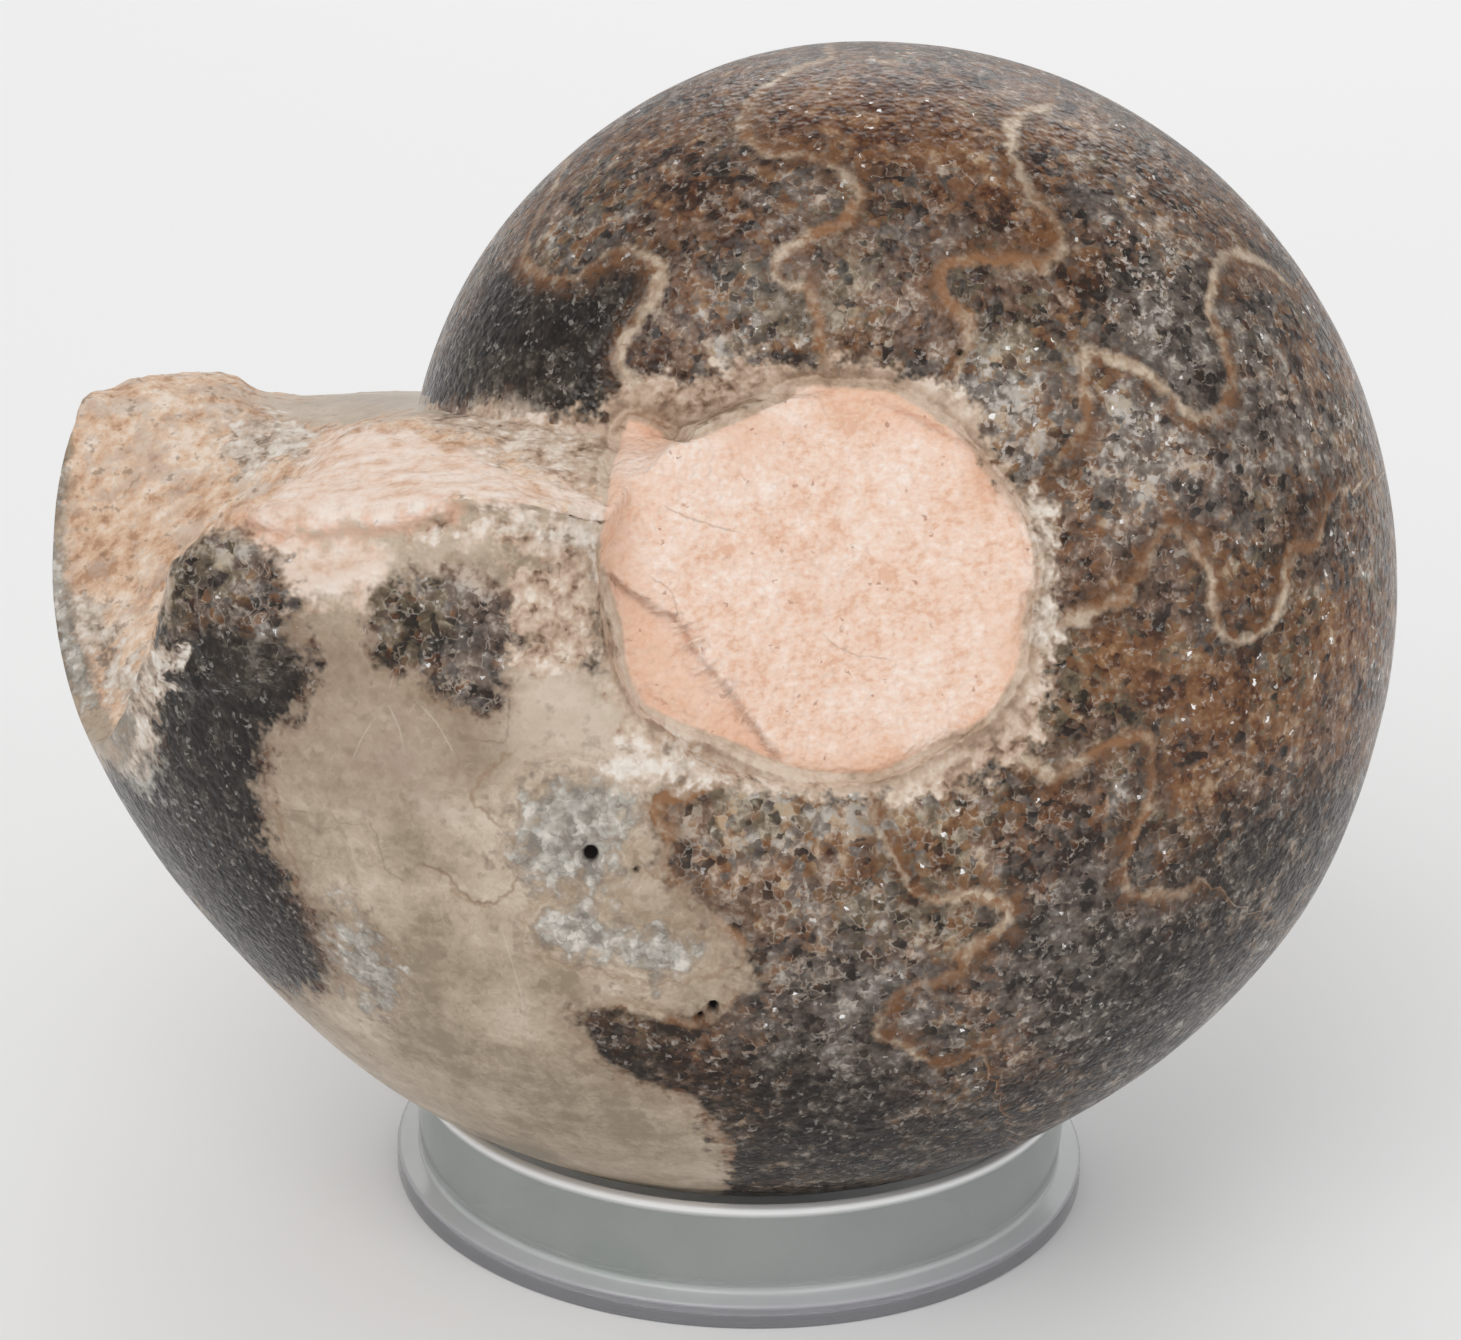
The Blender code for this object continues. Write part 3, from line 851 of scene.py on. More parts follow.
def further_round(azimuths, radii, line):
    """True where a vertex lies further round the coil than a suture does."""
    turn = np.degrees(np.unwrap(np.arctan2(line[:, 1], line[:, 0])))
    out = np.hypot(line[:, 0], line[:, 1])
    turn, out = np.r_[turn[0], turn, turn[-1]], np.r_[FAR_OUT, out, 0.0]
    before = np.zeros(len(azimuths), bool)
    for t1, t2, r1, r2 in zip(turn, turn[1:], out, out[1:]):
        if r1 != r2:
            crosses = (r1 > radii) != (r2 > radii)
            before ^= crosses & (azimuths < t1 + (t2 - t1) * (radii - r1) / (r2 - r1))
    return ~before


suture_lines = [suture_on_stone(points) for points in SUTURES]


def tree_of(points):
    tree = KDTree(len(points))
    for point in points:
        tree.insert(point, 0)
    tree.balance()
    return tree


def distances(places, tree):
    return np.array([tree.find(p)[2] for p in places])


print("suture lengths in mm:", [round(float(np.linalg.norm(np.diff(line, axis=0), axis=1).sum()))
                                for line in suture_lines])

# %% [markdown]
# ## Smaller faces where the stone is broken
# The polished shell is smooth, so faces half a millimetre wide are enough for
# it. The broken end, the crystals and the rim of the plug have finer forms.
# Their faces are each cut into four, and the rest of the mesh is left alone.

# %% Cutting the broken parts finer
RIM_BAND = 0.8              # mm each side of an outline


def broken(skin):
    """Which vertices lie where the surface needs smaller faces."""
    plug, flake, lens, knob = (skin.depth(mark, far=False) for mark in (PLUG, FLAKE, LENS, KNOB))
    rims = (np.abs(plug) < RIM_BAND) | (np.abs(lens) < RIM_BAND)
    rims |= (np.abs(flake) < RIM_BAND) & (plug > 0)
    inner = (knob > -RIM_BAND) | (skin.depth(BROWN_PATCH, SCOOP, far=False) > 0)
    return (rims | inner | (skin.round_depth(PITS) > -RIM_BAND)) & (skin.seen > 0.5)


def cut_finer(mesh, wanted):
    shape = bmesh.new()
    shape.from_mesh(mesh)
    edges = [e for e in shape.edges if wanted[e.verts[0].index] and wanted[e.verts[1].index]]
    bmesh.ops.subdivide_edges(shape, edges=edges, cuts=1, use_grid_fill=True)
    shape.to_mesh(mesh)
    shape.free()
    mesh.shade_smooth()


cut_finer(stone.data, broken(Skin(stone.data)))
stone.data.calc_loop_triangles()
print("stone:", len(stone.data.polygons), "faces,", len(stone.data.loop_triangles), "triangles")

# %% [markdown]
# ## Fields on the stone
# Now every vertex learns where it lies. The chambers are counted to give the
# suture field its sign. The body chamber, the last and largest room, was filled
# with beige mud, so it is all of the coil in front of the first suture, less
# the patches of crystal in it. The broken open end is told from the polished
# shell by the way that it faces.

# %% The fields
FIRST_AZIMUTH = -200.0      # degrees, just past the open end
FACE_REACH = (-8.0, 12.0)   # coil x below and y below which the open end lies
FACE_TURN = (0.42, 0.62)    # how far a face of the open end looks up the coil
INWARD = -0.1               # how far it may look inwards, to the coil's middle plane
GROUPS = (                  # the fields that the finish reads, three to an attribute
    ("suture", "black", "charcoal"), ("comb", "hue", "frost"), ("pale", "shade", "pit"),
    ("beige", "cream", "plug"), ("torn", "rosy", "lens"), ("smudge", "light", "chalk"),
    ("flake", "ember_gap", "crack"), ("crack_gap", "scratch", "scratch_gap"), ("vein", "vein_gap", "brown"),
)


def union(*depths):
    return np.maximum.reduce(depths)


def fields_of(skin):
    """Every mark's depth at every vertex, by name."""
    coil = skin.coil
    folded = np.column_stack((coil[:, :2], np.abs(coil[:, 2])))
    radii = np.hypot(coil[:, 0], coil[:, 1])
    azimuths = np.degrees(np.arctan2(coil[:, 1], coil[:, 0]))
    azimuths = (azimuths - FIRST_AZIMUTH) % 360.0 + FIRST_AZIMUTH
    further = [further_round(azimuths, radii, line) for line in suture_lines]
    chamber = np.sum(further, axis=0)
    to_suture = distances(folded, tree_of(np.vstack(suture_lines)))
    to_body = distances(folded, tree_of(suture_lines[0]))
    body = np.where(further[0], -to_body, to_body)
    # the open end looks up the coil, or inwards, as no part of the shell does
    looks_up = (skin.normals @ COIL_AXES[1] - FACE_TURN[0]) / (FACE_TURN[1] - FACE_TURN[0])
    looks_in = (INWARD - skin.normals @ COIL_AXES[2] * np.sign(coil[:, 2])) / (FACE_TURN[1] - FACE_TURN[0])
    face = np.where((coil[:, 0] < FACE_REACH[0]) & (coil[:, 1] < FACE_REACH[1]),
                    np.clip(np.maximum(looks_up, looks_in), 0.0, 1.0) * 2.0 - 1.0, -1.0)
    knob = skin.depth(KNOB, far=False)
    patch = skin.depth(BROWN_PATCH)
    scoop = skin.depth(SCOOP, far=False)
    found = {
        "suture": np.where(chamber % 2 == 0, to_suture, -to_suture),
        "plug": skin.depth(PLUG),
        "flake": skin.depth(FLAKE, far=False),
        "torn": np.minimum(union(scoop, 2.0 * face), -skin.depth(LEFT_STRIP, TOP_STRIP, far=False)),
        "lens": skin.depth(LENS, WEDGE, far=False),
        "rosy": skin.depth(ROSE_BELOW_LENS, far=False),
        "knob": knob,
        "brown": union(knob, patch, skin.depth(BROWN_SPOT)),
        "comb": union(skin.depth(HONEYCOMB), patch - 0.5, knob - 0.5),
        "smudge": skin.depth(SMUDGE),
        "light": union(skin.depth(LIGHT_FILL), skin.depth(TOP_STRIP, far=False)),
        "black": union(np.minimum(skin.depth(BLACK_CORNER), -2.0 * face), skin.depth(BLACK_BAND)),
        "charcoal": skin.depth(CHARCOAL_LOW),
        "hue": skin.shaded(HUES),
        "pale": skin.depth(*PALES),
        "frost": skin.depth(*FROSTS),
        "chalk": skin.depth(*CHALKS),
        "cream": skin.depth(*CREAMS, *CHALKS),
    }
    found["beige"] = np.minimum(body, -union(found["black"], found["brown"]))
    # soft tone spots, some of them painted sheen on the rim and painted shade low down and above the plug
    found["shade"] = skin.shaded(TONE_AND_PAINTED_LIGHT)
    found["pit"] = skin.round_depth(PITS)
    found["crack"], found["crack_gap"] = skin.beside(CRACKS)
    found["scratch"], found["scratch_gap"] = skin.beside(SCRATCHES)
    found["ember_gap"] = skin.beside(LENS_SHADOW_LINES)[1]
    found["vein"], found["vein_gap"] = skin.beside(VEINS)
    return found


skin = Skin(stone.data)
fields = fields_of(skin)
for name, values in fields.items():
    print(f"{name:9s} covers {100 * np.mean(values > 0):4.1f}% of the vertices")

# %% [markdown]
# ## Relief
# Polishing left the shell smooth, but not what broke or never took a polish.
# The matrix plug is chalky, with a flake off its lower left and a fine groove
# round it. The scoop is torn stone. The knob and the patches are crystals that
# stand up with flat faces. Each vertex is pushed along its normal: clouds of
# noise make lumps, and the cells of a Voronoi pattern, each with a tilt of its
# own, make crystals.

# %% Pushing the surface about
def cloud(places, size, octaves=3, seed=0.0, where=None):
    """Smooth noise from -1 to 1 with lumps about size mm across, 0 elsewhere."""
    shift = Vector((seed, seed * 1.7, -seed))
    heights = np.zeros(len(places))
    for i in range(len(places)) if where is None else np.flatnonzero(where > 0):
        heights[i] = noise.fractal(Vector(places[i]) / size + shift, 0.9, 2.1, octaves)
    return heights


def crystals(places, size, where, seed=0.0):
    """Flat faces about size mm across, each tilted its own way, from -1 to 1."""
    heights = np.zeros(len(places))
    for i in np.flatnonzero(where > 0):
        at = Vector(places[i]) / size + Vector((seed, seed, seed))
        centres = noise.voronoi(at)[1]
        tilt = noise.noise_vector(centres[0] * 7.3).normalized()
        heights[i] = (at - centres[0]).dot(tilt) + 0.4 * noise.noise(centres[0] * 5.1)
    return heights


def ease(values, low, high):
    share = np.clip((values - low) / (high - low), 0.0, 1.0)
    return share * share * (3 - 2 * share)


def bell(values, half_width):
    return np.exp(-((values / half_width) ** 2))


def relief_of(skin, fields):
    """How far each vertex moves along its normal, in mm."""
    at = skin.coil
    plug = ease(fields["plug"], -0.15, 0.35)
    lens = ease(fields["lens"], -0.15, 0.4)
    knob = ease(fields["knob"], -0.3, 0.7)
    scoop = ease(fields["torn"], -0.3, 0.8) * (1 - lens) * (1 - knob)
    below = ease(skin.pixels[:, 1], *LENS_EDGE)
    brown = ease(fields["brown"], -0.3, 0.5) * (1 - knob)
    rough = ease(union(fields["brown"], fields["cream"], fields["pale"]), -0.5, 1.0) * (1 - plug) * (1 - lens)
    matrix = union(plug, scoop)
    lumps = cloud(at, 3.2, where=matrix)
    fine = cloud(at, 1.1, seed=9.0, where=union(matrix, rough))
    height = 0.04 * cloud(at, 8.0, octaves=2, seed=4.0) * (1 - plug)
    height += plug * (0.09 * lumps + 0.04 * fine)
    height -= 0.40 * bell(fields["plug"] + 0.2, 0.35)
    ragged = fields["flake"] + 0.5 * fine
    facet = ease(ragged, -0.12, 0.16) * (1 - 0.65 * ease(fields["flake"], 0.6, 3.5))
    height -= 0.85 * facet * plug
    height += scoop * (1 - plug) * (0.30 * lumps
                                    + 0.22 * cloud(at * (1.0, 0.55, 1.0), 1.9, 4, 6.0, where=scoop))
    height += lens * (1 - plug) * (0.08 + 0.16 * cloud(at * (0.3, 1.0, 1.0), 1.3, seed=2.0, where=lens))
    height += 0.30 * bell(fields["lens"] - 0.3, 0.4) * (1 - plug) * below
    height -= 0.40 * bell(fields["lens"] + 0.5, 0.4) * (1 - plug) * below
    height += rough * 0.06 * fine
    faces = crystals(at, 1.25, union(knob, brown))
    height += knob * (0.55 + 0.42 * faces)
    height += brown * 0.24 * faces
    height -= 1.0 * ease(fields["pit"], -0.35, 0.35)
    for across, down, radius, depth in DENTS:
        gap = np.hypot(skin.pixels[:, 0] - across, skin.pixels[:, 1] - down)
        height -= depth * bell(gap, radius)
    return height


def push(mesh, skin, heights):
    moved = skin.places + skin.normals * heights[:, None] * MM
    mesh.vertices.foreach_set("co", moved.astype(np.float32).ravel())
    mesh.update()


CRYSTAL_SEED = 7            # the tilts of the crystals come from offsets that it sets
noise.seed_set(CRYSTAL_SEED)
relief = relief_of(skin, fields)
push(stone.data, skin, relief)
for group in GROUPS:
    skin.keep(group, fields)
print("relief from", round(relief.min(), 2), "to", round(relief.max(), 2), "mm")

# %% [markdown]
# ## The stone's finish
# One finish covers the stone, because its kinds of mineral grow into each
# other. Each kind is a layer with its own colour and roughness: brown calcite
# at the bottom, then the beige fill of the body chamber, pale crystal, cream
# rims, ochre matrix and the rose plug. A layer shows where its field says so,
# with an edge that noise has nibbled. A few clouds and grains are made once and
# shared by all the layers, which keeps the picture quick to render.

# %% Shared patterns and layers
GRAIN = 0.72 * MM           # a crystal of calcite
SPECK = 0.26 * MM
BEND = 1.2 * MM             # how far the grains are pulled about
HALF = (0.5, 0.5, 0.5)


def shared_patterns(board):
    """The clouds and grains that the layers draw on, by name."""
    lumps = board.noise(1.1 * MM, rough=0.66, output="Color")
    shift = board.vector("SCALE", board.vector("SUBTRACT", lumps, HALF), BEND)
    bent = board.vector("ADD", board.place, shift)
    wide = board.split(board.noise(7.0 * MM, detail=1.0, output="Color"))
    close = board.split(lumps)
    mid = board.noise(2.6 * MM, detail=3.0, rough=0.7)
    grains = board.grains(GRAIN, bent)
    grain = board.split(grains.outputs["Color"])
    # each grain is painted brighter towards one side: painted facet shading, as if light fell on a tilted
    # face
    painted_lit_side = board.vector("SUBTRACT", grains.outputs["Color"], HALF)
    off = board.vector("SCALE", board.vector("SUBTRACT", bent, grains.outputs["Position"]), 1.0 / GRAIN)
    second = board.grains(GRAIN, bent, feature="F2").outputs["Distance"]
    speck = board.split(board.specks(SPECK, bent))
    return SimpleNamespace(
        wide=wide[0], wide_too=wide[1], wide_three=wide[2],
        close=close[0], close_too=close[1], close_three=close[2],
        grain=grain[0], grain_too=grain[1], grain_three=grain[2],
        speck=speck[0], speck_too=speck[1], speck_three=speck[2], mid=mid,
        facet=board.vector("DOT_PRODUCT", painted_lit_side, off),
        rim=board.math("SUBTRACT", second, grains.outputs["Distance"]),
        nibble=weighed(board, (wide[2], 0.29), (close[1], 0.42), (mid, 0.29)),
        sway=board.math("SUBTRACT", close[0], 0.5),
    )


Layer = namedtuple("Layer", "colour roughness")     # each a socket or a value


def over(board, share, low, high):
    """The high layer laid over the low one where share is 1."""
    rough = board.add("ShaderNodeMix", data_type="FLOAT")
    board.join(share, rough.inputs["Factor"])
    board.join(low.roughness, rough.inputs[2])
    board.join(high.roughness, rough.inputs[3])
    return Layer(board.mix(share, low.colour, high.colour), rough.outputs[0])


NIBBLE = 14.0               # mm of field for a whole step of the pattern, at a reach of 1 mm
LINE_END = (0.7, 0.2)       # mm past the end of a stroke between which it fades out


def worn(board, use, field, reach, softness, shift=0.0, share=1.0):
    """share where a field is inside its mark, whose edge is worn in and out by reach mm."""
    edge = board.math("MULTIPLY_ADD", use.nibble, NIBBLE * reach, field)
    middle = 0.5 * NIBBLE * reach - shift
    return board.fade(edge, middle - softness, middle + softness, 0.0, share)


def stroke(board, signed, gap, width, wander, share):
    """A thin line along the strokes whose distances are kept in two fields."""
    line = board.math("ABSOLUTE", board.math("ADD", signed, wander))
    return times(board, board.fade(line, width, 0.2 * width, 0.0, share), board.fade(gap, *LINE_END))


# %% [markdown]
# ## Calcite
# The chambers filled with calcite that grew as brown and amber crystals, nearly
# black where they are dense. Cut and polished, they show as a mosaic of small
# grains: each has its own tint and painted facet shading that makes it brighter
# towards one side, some are dark hollows, and pale seams run round a part of them.
# Clouds at two scales carry the colour from place to place, and a few soft spots
# lighten or darken whole regions: most set the stone's own tone, those on the
# lower right rim are painted sheen, and those low on the stone are partly painted shade.

# %% Calcite and its sutures
CALCITE_STEPS = (0.40, 0.45, 0.51, 0.58, 0.67)
BROWN = ((44, 27, 16), (82, 60, 46), (104, 79, 63), (130, 106, 89), (190, 171, 154))
OLIVE = ((44, 36, 26), (80, 68, 52), (99, 85, 66), (122, 108, 89), (172, 159, 139))
SLATE = ((38, 33, 30), (72, 65, 60), (93, 85, 79), (119, 112, 105), (178, 172, 164))
AMBER = ((72, 38, 18), (102, 64, 36), (118, 78, 46), (136, 99, 66), (176, 148, 118))
BLACK_STEPS = (0.42, 0.52, 0.59, 0.67)
BLACK = ((22, 15, 10), (42, 34, 28), (58, 50, 43), (98, 90, 80))


def calcite_colour(board, parts, use, frosty):
    """The tint from place to place, how amber it is, and how dense."""
    # the facet term is painted facet shading: each grain lighter towards one side
    tone = weighed(board, (use.mid, 0.50), (use.close, 0.38), (use.grain, 0.09),
                   (use.facet, 0.12), (use.speck, 0.03), (frosty, 0.04), (parts.shade, 1.8))
    brown, olive, slate, amber = (board.ramp(tone, CALCITE_STEPS, tints)
                                  for tints in (BROWN, OLIVE, SLATE, AMBER))
    black = board.ramp(tone, BLACK_STEPS, BLACK)
    crystal = board.fade(parts.brown, -0.5, 0.5)
    cool = weighed(board, (use.wide, 0.8), (use.grain_too, 0.2))
    colour = board.mix(board.fade(cool, 0.50, 0.58, 0.0, 0.85), brown, slate)
    colour = board.mix(board.math("MULTIPLY", crystal, 0.5), colour, slate)
    green = weighed(board, (use.wide_too, 0.8), (use.grain_three, 0.2))
    colour = board.mix(board.fade(green, 0.52, 0.56, 0.0, 0.9), colour, olive)
    rusty = weighed(board, (use.wide_three, 0.45), (use.grain_three, 0.25), (use.close_too, 0.3),
                    (crystal, -0.10))
    colour = board.mix(board.fade(rusty, 0.50, 0.57, 0.0, 0.75), colour, amber)
    hue = weighed(board, (use.close_three, 2.0), (use.grain_too, 0.5), (parts.hue, 1.0))
    ambers = board.fade(hue, 1.55, 1.95, 0.0, 0.9)
    colour = board.mix(ambers, colour, amber)
    colour = board.mix(board.fade(hue, 1.00, 0.60, 0.0, 0.85), colour, slate)
    charcoal = times(board, worn(board, use, parts.charcoal, 1.8, 2.4),
                     board.fade(tone, 0.62, 0.50, 0.45, 0.9))
    dense = board.math("MAXIMUM", worn(board, use, parts.black, 0.6, 0.8), charcoal)
    return board.mix(dense, colour, black), ambers, dense


def calcite(board, parts, use):
    """The mosaic of grains, with dark hollows, pale seams, dust and painted glints on a few bright facets."""
    frosty = worn(board, use, parts.frost, 1.2, 1.2)
    colour, ambers, dense = calcite_colour(board, parts, use, frosty)
    smooth = board.math("MULTIPLY_ADD", ambers, -0.6, 1.0)
    hollow = times(board, board.fade(use.grain, 0.18, 0.08, 0.0, 0.72),
                   board.fade(use.rim, 0.02, 0.18), board.fade(use.mid, 0.62, 0.50), smooth)
    colour = board.mix(hollow, colour, paint(32, 25, 21))
    patch = weighed(board, (board.fade(parts.comb, -0.6, 0.6), 0.06), (frosty, 0.02),
                    (use.close_three, 1.0))
    width = board.math("MULTIPLY", use.close, 0.28)
    seam = times(board, board.fade(board.math("DIVIDE", use.rim, width), 1.3, 0.1, 0.0, 0.58),
                 board.fade(patch, 0.54, 0.60), board.fade(dense, 0.0, 1.0, 0.8, 0.25), smooth)
    frost = board.mix(use.grain_three, paint(158, 138, 116), paint(196, 188, 178))
    colour = board.mix(seam, colour, frost)
    often = board.math("MULTIPLY_ADD", frosty, 0.26, use.speck_too)
    dust = times(board, board.fade(often, 0.86, 0.96), board.fade(use.close_three, 0.44, 0.56),
                 board.fade(frosty, 0.0, 1.0, 0.35, 0.75))
    colour = board.mix(dust, colour, paint(196, 188, 180))
    # a few grains painted near white: painted glints
    painted_glint = times(board, board.fade(use.speck_too, 0.975, 0.99), board.fade(use.close, 0.52, 0.58),
                  board.fade(use.wide, 0.46, 0.56), board.fade(dense, 0.6, 0.1))
    colour = board.mix(painted_glint, colour, paint(240, 238, 236))
    return Layer(colour, board.fade(use.grain_three, 0.0, 1.0, 0.20, 0.38))


def with_sutures(board, parts, use, low):
    """The pale folded line between two chambers, and the amber glow on one side of it."""
    wander = weighed(board, (use.close, 0.8), (use.mid, 1.2))
    signed = board.math("ADD", parts.suture, board.math("SUBTRACT", wander, 1.0))
    gap = board.math("ABSOLUTE", signed)
    colour = board.mix(board.fade(gap, 1.7, 0.5, 0.0, 0.4), low.colour, paint(46, 36, 29))
    glow = times(board, board.fade(signed, 1.8, 0.3), board.fade(signed, -0.4, 0.1),
                 board.fade(use.close_too, 0.44, 0.56, 0.1, 0.7))
    colour = board.mix(glow, colour, paint(122, 80, 46))
    broad = board.math("ADD", gap, weighed(board, (use.close_too, 1.2), (use.wide, 1.2)))
    line = times(board, board.fade(broad, 1.76, 1.26),
                 board.fade(use.wide_too, 0.38, 0.52, 0.55, 0.95),
                 board.fade(parts.charcoal, -2.0, 2.0, 1.0, 0.5))
    tone = weighed(board, (use.wide_three, 0.45), (use.close_three, 0.45), (use.grain, 0.1))
    pale = board.ramp(tone, (0.40, 0.48, 0.60), ((140, 100, 68), (160, 134, 110), (200, 182, 160)))
    return Layer(board.mix(line, colour, pale), low.roughness)


def pale_crystal(board, use):
    """Clear grey crystal over white, with a few dark gaps."""
    tone = weighed(board, (use.grain_too, 0.12), (use.mid, 0.38), (use.close, 0.50))
    colour = board.ramp(tone, (0.40, 0.46, 0.53, 0.62),
                        ((138, 131, 122), (164, 158, 149), (185, 180, 171), (218, 212, 203)))
    gaps = times(board, board.fade(use.rim, 0.12, 0.02, 0.0, 0.4),
                 board.fade(use.close_three, 0.46, 0.54))
    return Layer(board.mix(gaps, colour, paint(92, 86, 80)), 0.42)


# %% [markdown]
# ## Fills and matrix
# Mud filled the body chamber and the navel. Inside it turned to a smooth beige
# stone that takes a polish. In the navel it is rose and chalky, and in the
# broken end it is ochre, torn and pitted. Where calcite grew against the mud
# there are cream grains, and in two hollows clear crystal over white, with tan
# lines in the mud around it like the rings round a knot in wood.

# %% Fills and matrix
def beige_fill(board, parts, use):
    """Soft clouds and faint bands, browner at its edges, with tan lines round the crystal."""
    bands = board.noise(1.5 * MM, stretch=(4.0, 2.0, 0.8))
    # the tone spots darken the fill low on the stone, partly painted shade
    tone = weighed(board, (use.wide_too, 0.45), (bands, 0.18), (use.mid, 0.26),
                   (use.speck, 0.05), (use.grain_too, 0.06), (parts.shade, 1.0))
    colour = board.ramp(tone, (0.38, 0.47, 0.53, 0.63),
                        ((148, 132, 112), (174, 157, 137), (186, 169, 149), (206, 190, 172)))
    olive = times(board, board.fade(use.wide, 0.44, 0.68, 0.0, 0.18), board.fade(bands, 0.36, 0.64))
    colour = board.mix(olive, colour, paint(140, 126, 102))
    light = worn(board, use, parts.light, 0.5, 1.6, share=0.5)
    colour = board.mix(light, colour, paint(210, 192, 175))
    smudge = times(board, worn(board, use, parts.smudge, 0.9, 2.2, share=0.62),
                   board.fade(use.mid, 0.36, 0.60, 0.4, 1.0))
    colour = board.mix(smudge, colour, paint(142, 118, 101))
    edge = times(board, board.fade(parts.beige, 2.2, 0.0, 0.0, 0.55),
                 board.fade(use.close_three, 0.38, 0.60))
    colour = board.mix(edge, colour, paint(140, 112, 90))
    rings = board.stripes(parts.pale, 0.9, board.math("MULTIPLY", use.mid, 3.0))
    rings = times(board, board.fade(rings, 0.52, 0.62, 0.0, 0.35), board.fade(parts.pale, -2.4, -0.6))
    vein = stroke(board, parts.vein, parts.vein_gap, 0.26, board.math("MULTIPLY", use.sway, 1.6), 0.6)
    colour = board.mix(board.math("MAXIMUM", rings, vein), colour, paint(142, 114, 90))
    grit = board.fade(use.close_too, 0.56, 0.74, 0.0, 0.5)
    return Layer(board.mix(grit, colour, paint(134, 116, 98)), 0.36)


def cream_rim(board, parts, use):
    """Cream crumbs, calmer and striped along the plug's edge, whiter where chalky."""
    stripe = board.stripes(parts.plug, 0.8, board.math("MULTIPLY", use.mid, 2.0))
    # the tone spots darken the cream above the plug: painted shade in the groove round it
    tone = weighed(board, (use.mid, 0.34), (use.close_three, 0.46), (stripe, 0.12),
                   (use.grain, 0.08), (parts.shade, 0.8))
    colour = board.ramp(tone, (0.40, 0.455, 0.50, 0.56, 0.63),
                        ((112, 88, 71), (164, 138, 117), (188, 163, 142), (208, 187, 168), (228, 214, 200)))
    white = board.ramp(tone, (0.40, 0.455, 0.52, 0.60),
                       ((150, 134, 119), (192, 177, 162), (214, 202, 189), (231, 223, 213)))
    band = weighed(board, (stripe, 0.35), (use.mid, 0.40), (use.wide, 0.25), (parts.shade, 0.8))
    calm = board.ramp(band, (0.42, 0.50, 0.58), ((150, 127, 106), (186, 163, 141), (212, 193, 174)))
    colour = board.mix(board.fade(parts.plug, -2.6, -0.8, 0.0, 0.75), colour, calm)
    chalky = worn(board, use, parts.chalk, 1.2, 0.8, -0.4)
    return Layer(board.mix(chalky, colour, white), 0.6)


def ochre_matrix(board, use):
    """Torn matrix: ochre with grey and cream streaks that run up to the right."""
    streak = board.noise(1.3 * MM, detail=4.0, rough=0.66, stretch=(1.0, 1.0, 1.7),
                         turn=(0.0, math.radians(28.0), 0.0))
    tone = weighed(board, (streak, 0.6), (use.wide, 0.25), (use.close, 0.15))
    colour = board.ramp(tone, (0.40, 0.46, 0.52, 0.60),
                        ((180, 142, 114), (210, 175, 147), (223, 195, 170), (235, 218, 202)))
    grey = board.fade(use.mid, 0.50, 0.58, 0.0, 0.5)
    colour = board.mix(grey, colour, paint(196, 180, 167))
    pits = board.fade(use.close, 0.60, 0.68, 0.0, 0.55)
    return Layer(board.mix(pits, colour, paint(124, 98, 76)), 0.8)


def lens_matrix(board, use):
    """Rose matrix broken along its length."""
    streak = board.noise(0.9 * MM, detail=3.0, rough=0.62, stretch=(4.0, 1.0, 1.0),
                         turn=(0.0, math.radians(-12.0), 0.0))
    tone = weighed(board, (streak, 0.35), (use.mid, 0.35), (use.close, 0.30))
    colour = board.ramp(tone, (0.40, 0.47, 0.53, 0.61),
                        ((214, 178, 154), (231, 205, 187), (238, 218, 204), (243, 230, 220)))
    return Layer(colour, 0.8)


def rose_plug(board, parts, use):
    """Chalky rose stone, more orange towards its edge and on the flake, with a painted shadow line along the
    flake's step and dark specks.
    """
    freckle = board.noise(0.42 * MM, rough=0.7, stretch=(1.5, 1.0, 1.0),
                          turn=(0.0, math.radians(-14.0), 0.0))
    tone = weighed(board, (freckle, 0.38), (use.mid, 0.40), (use.wide_three, 0.22))
    colour = board.ramp(tone, (0.40, 0.46, 0.53, 0.62),
                        ((226, 184, 158), (235, 202, 181), (239, 213, 196), (244, 228, 217)))
    rim = times(board, board.fade(parts.plug, 3.4, 0.2), board.fade(use.wide_too, 0.42, 0.54))
    edge = board.math("ADD", rim, board.fade(parts.flake, -0.2, 0.8, 0.0, 0.7), clamp=True)
    colour = board.mix(board.math("MULTIPLY", edge, 0.55), colour, paint(226, 178, 146))
    # a darker line along the flake's step: painted shadow of the step
    ledge_shadow = board.math("ABSOLUTE", board.math("ADD", parts.flake, use.sway))
    colour = board.mix(board.fade(ledge_shadow, 0.40, 0.05, 0.0, 0.4), colour, paint(176, 140, 120))
    dots = times(board, board.fade(use.speck_three, 0.975, 0.99, 0.0, 0.55),
                 board.fade(use.close_too, 0.5, 0.58))
    return Layer(board.mix(dots, colour, paint(150, 98, 74)), 0.85)


# %% [markdown]
# ## One finish from the layers
# The layers are stacked in the order that one grew or was worn over another.
# Crystal, matrix and plug are three surfaces, and two masks pick between them,
# so that only the surface in sight is worked out. The smallest relief is left
# to a bump: crumbs a tenth of a millimetre high on the crystal, more on torn
# matrix, hardly any on the polished fill.

# %% The finish
CRACK = Layer(paint(100, 78, 60), 0.9)
SCRATCH = Layer(paint(214, 204, 190), 0.6)
# the orange line under the lens: partly its edge, partly painted shadow of its overhang
LENS_SHADOW_EDGE = Layer(paint(230, 178, 150), 0.8)
# painted shade: the inside of each pit painted near black
PIT_SHADE = Layer(paint(24, 20, 18), 0.9)
STONE_INPUTS = {"IOR": 1.5, "Specular IOR Level": 0.3}


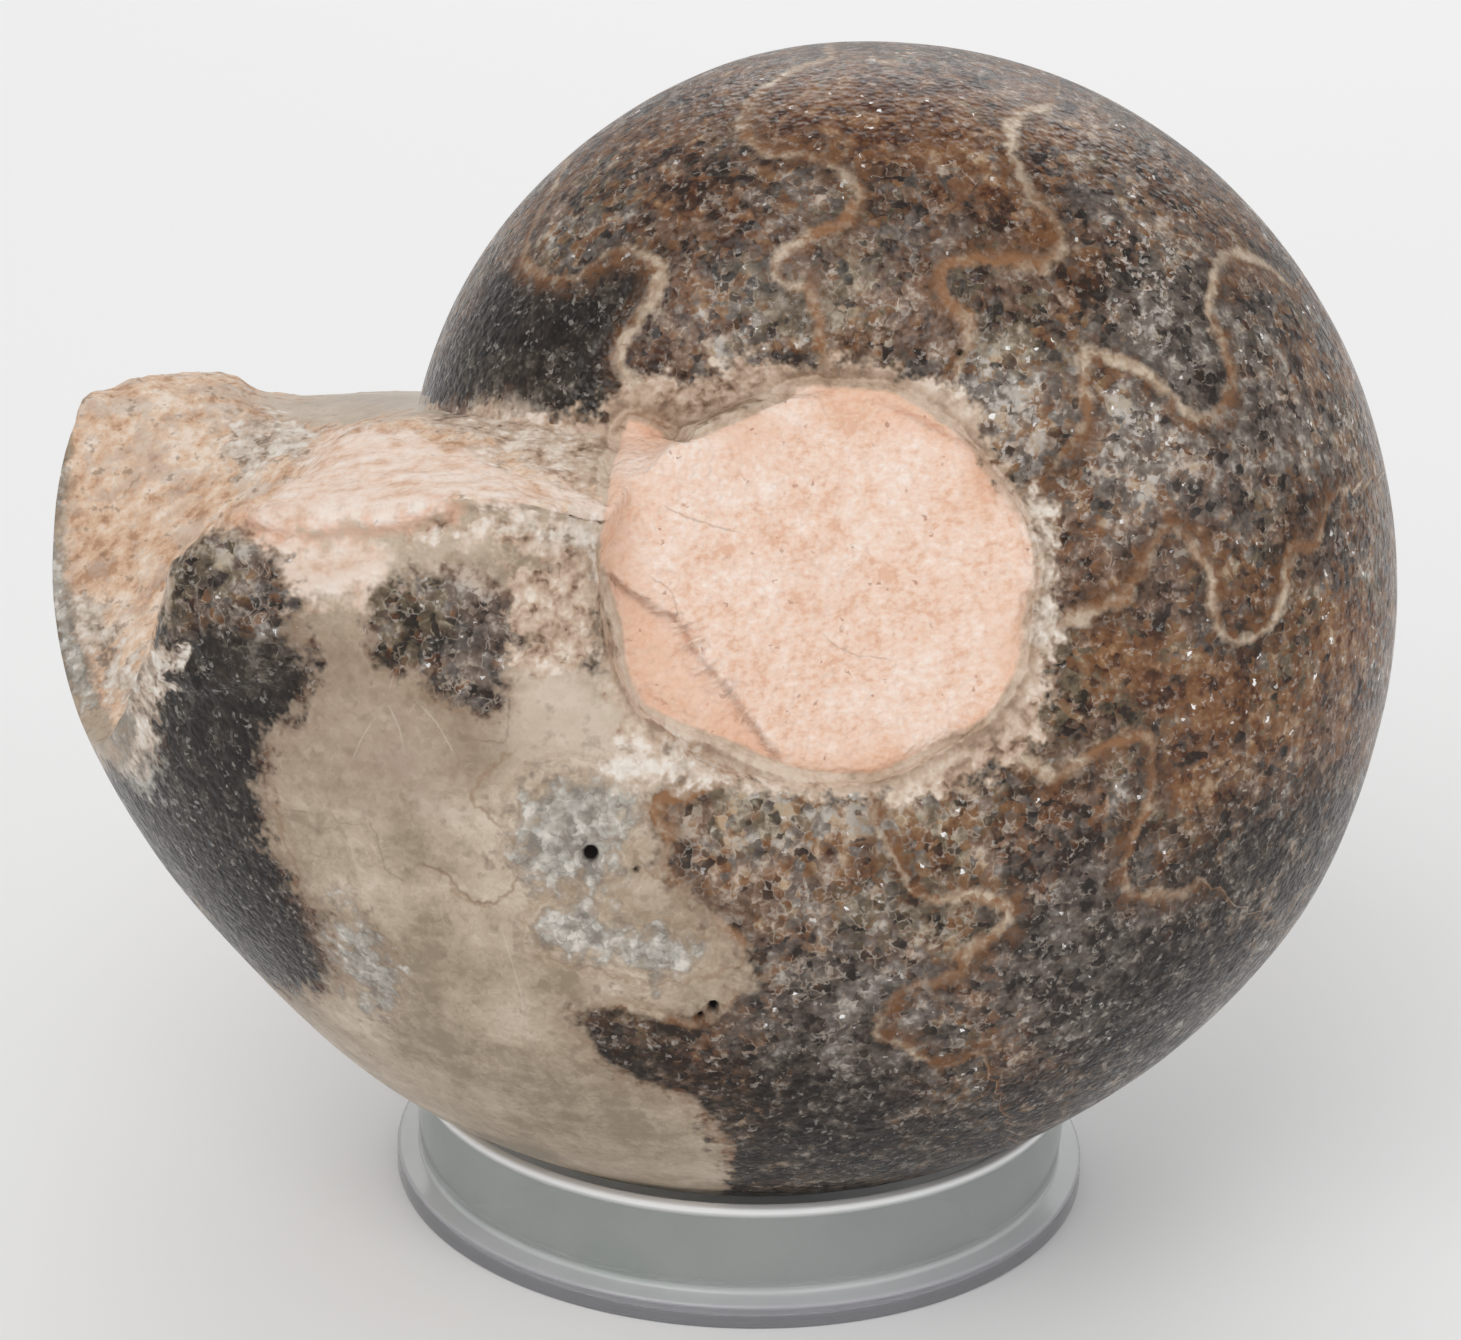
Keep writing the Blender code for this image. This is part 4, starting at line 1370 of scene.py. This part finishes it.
def satin(board, layer, bump):
    """A stone surface with a layer's colour and roughness."""
    made = board.add("ShaderNodeBsdfPrincipled", {
        "Base Color": layer.colour, "Roughness": layer.roughness, "Normal": bump, **STONE_INPUTS})
    return made.outputs["BSDF"]


def fossil_finish():
    board = Board("polished_fossil")
    parts = board.fields(GROUPS)
    use = shared_patterns(board)
    beige = worn(board, use, parts.beige, 0.75, 0.6)
    cream = worn(board, use, parts.cream, 0.9, 0.45, -0.1)
    torn = worn(board, use, parts.torn, 0.35, 0.3)
    lens = worn(board, use, parts.lens, 0.5, 0.35)
    rosy = worn(board, use, parts.rosy, 1.0, 0.8)
    plug = worn(board, use, parts.plug, 0.07, 0.12)
    pale = worn(board, use, parts.pale, 1.1, 0.8, 0.1)
    # pits painted near black: painted shade in the holes
    pit_shade = board.fade(parts.pit, -0.05, 0.15)
    crack = stroke(board, parts.crack, parts.crack_gap, 0.11, board.math("MULTIPLY", use.sway, 0.7), 0.30)
    scratch = stroke(board, parts.scratch, parts.scratch_gap, 0.08, 0.0, 0.35)
    # the line under the lens, partly painted shadow
    lens_shadow = board.math("MULTIPLY_ADD", use.sway, 3.0, parts.ember_gap)
    # the crystal
    layer = with_sutures(board, parts, use, calcite(board, parts, use))
    layer = over(board, board.math("MULTIPLY", pale, 0.9), layer, pale_crystal(board, use))
    crystal = over(board, pit_shade, layer, PIT_SHADE)
    # the fills and the matrix
    rose = lens_matrix(board, use)
    layer = over(board, torn, beige_fill(board, parts, use), ochre_matrix(board, use))
    layer = over(board, board.math("MULTIPLY", rosy, 0.75), layer, rose)
    layer = over(board, cream, layer, cream_rim(board, parts, use))
    layer = over(board, board.math("MULTIPLY", lens, 0.85), layer, rose)
    layer = over(board, board.fade(lens_shadow, 1.1, 0.0, 0.0, 0.48), layer, LENS_SHADOW_EDGE)
    layer = over(board, scratch, over(board, crack, layer, CRACK), SCRATCH)
    matrix = over(board, pit_shade, layer, PIT_SHADE)
    plugged = over(board, crack, rose_plug(board, parts, use), CRACK)
    # one of the three
    chalky = board.math("MAXIMUM", board.math("MAXIMUM", torn, plug), board.math("MAXIMUM", cream, lens))
    filled = times(board, beige, board.math("SUBTRACT", 1.0, pale))
    is_matrix = board.math("MAXIMUM", board.math("MAXIMUM", chalky, filled), rosy)
    strength = board.math("SUBTRACT", board.fade(chalky, 0.0, 1.0, 0.42, 0.7),
                          times(board, beige, board.fade(chalky, 0.0, 1.0, 0.34, 0.0)))
    crumbs = board.noise(0.7 * MM, detail=1.0, rough=0.65)
    bump = board.add("ShaderNodeBump", {"Strength": strength, "Distance": 0.45 * MM,
                                        "Height": crumbs}).outputs["Normal"]
    fills = board.add("ShaderNodeMixShader", {0: plug, 1: satin(board, matrix, bump),
                                              2: satin(board, plugged, bump)})
    whole = board.add("ShaderNodeMixShader", {0: is_matrix, 1: satin(board, crystal, bump),
                                              2: fills.outputs[0]})
    board.join(whole.outputs[0], board.tree.nodes["Material Output"].inputs["Surface"])
    board.tree.nodes.remove(board.surface)
    return board.material


stone.data.materials.clear()
stone.data.materials.append(fossil_finish())
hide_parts("ammonite")
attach(stone, "root")
print("finish:", len(stone.data.materials[0].node_tree.nodes), "nodes")
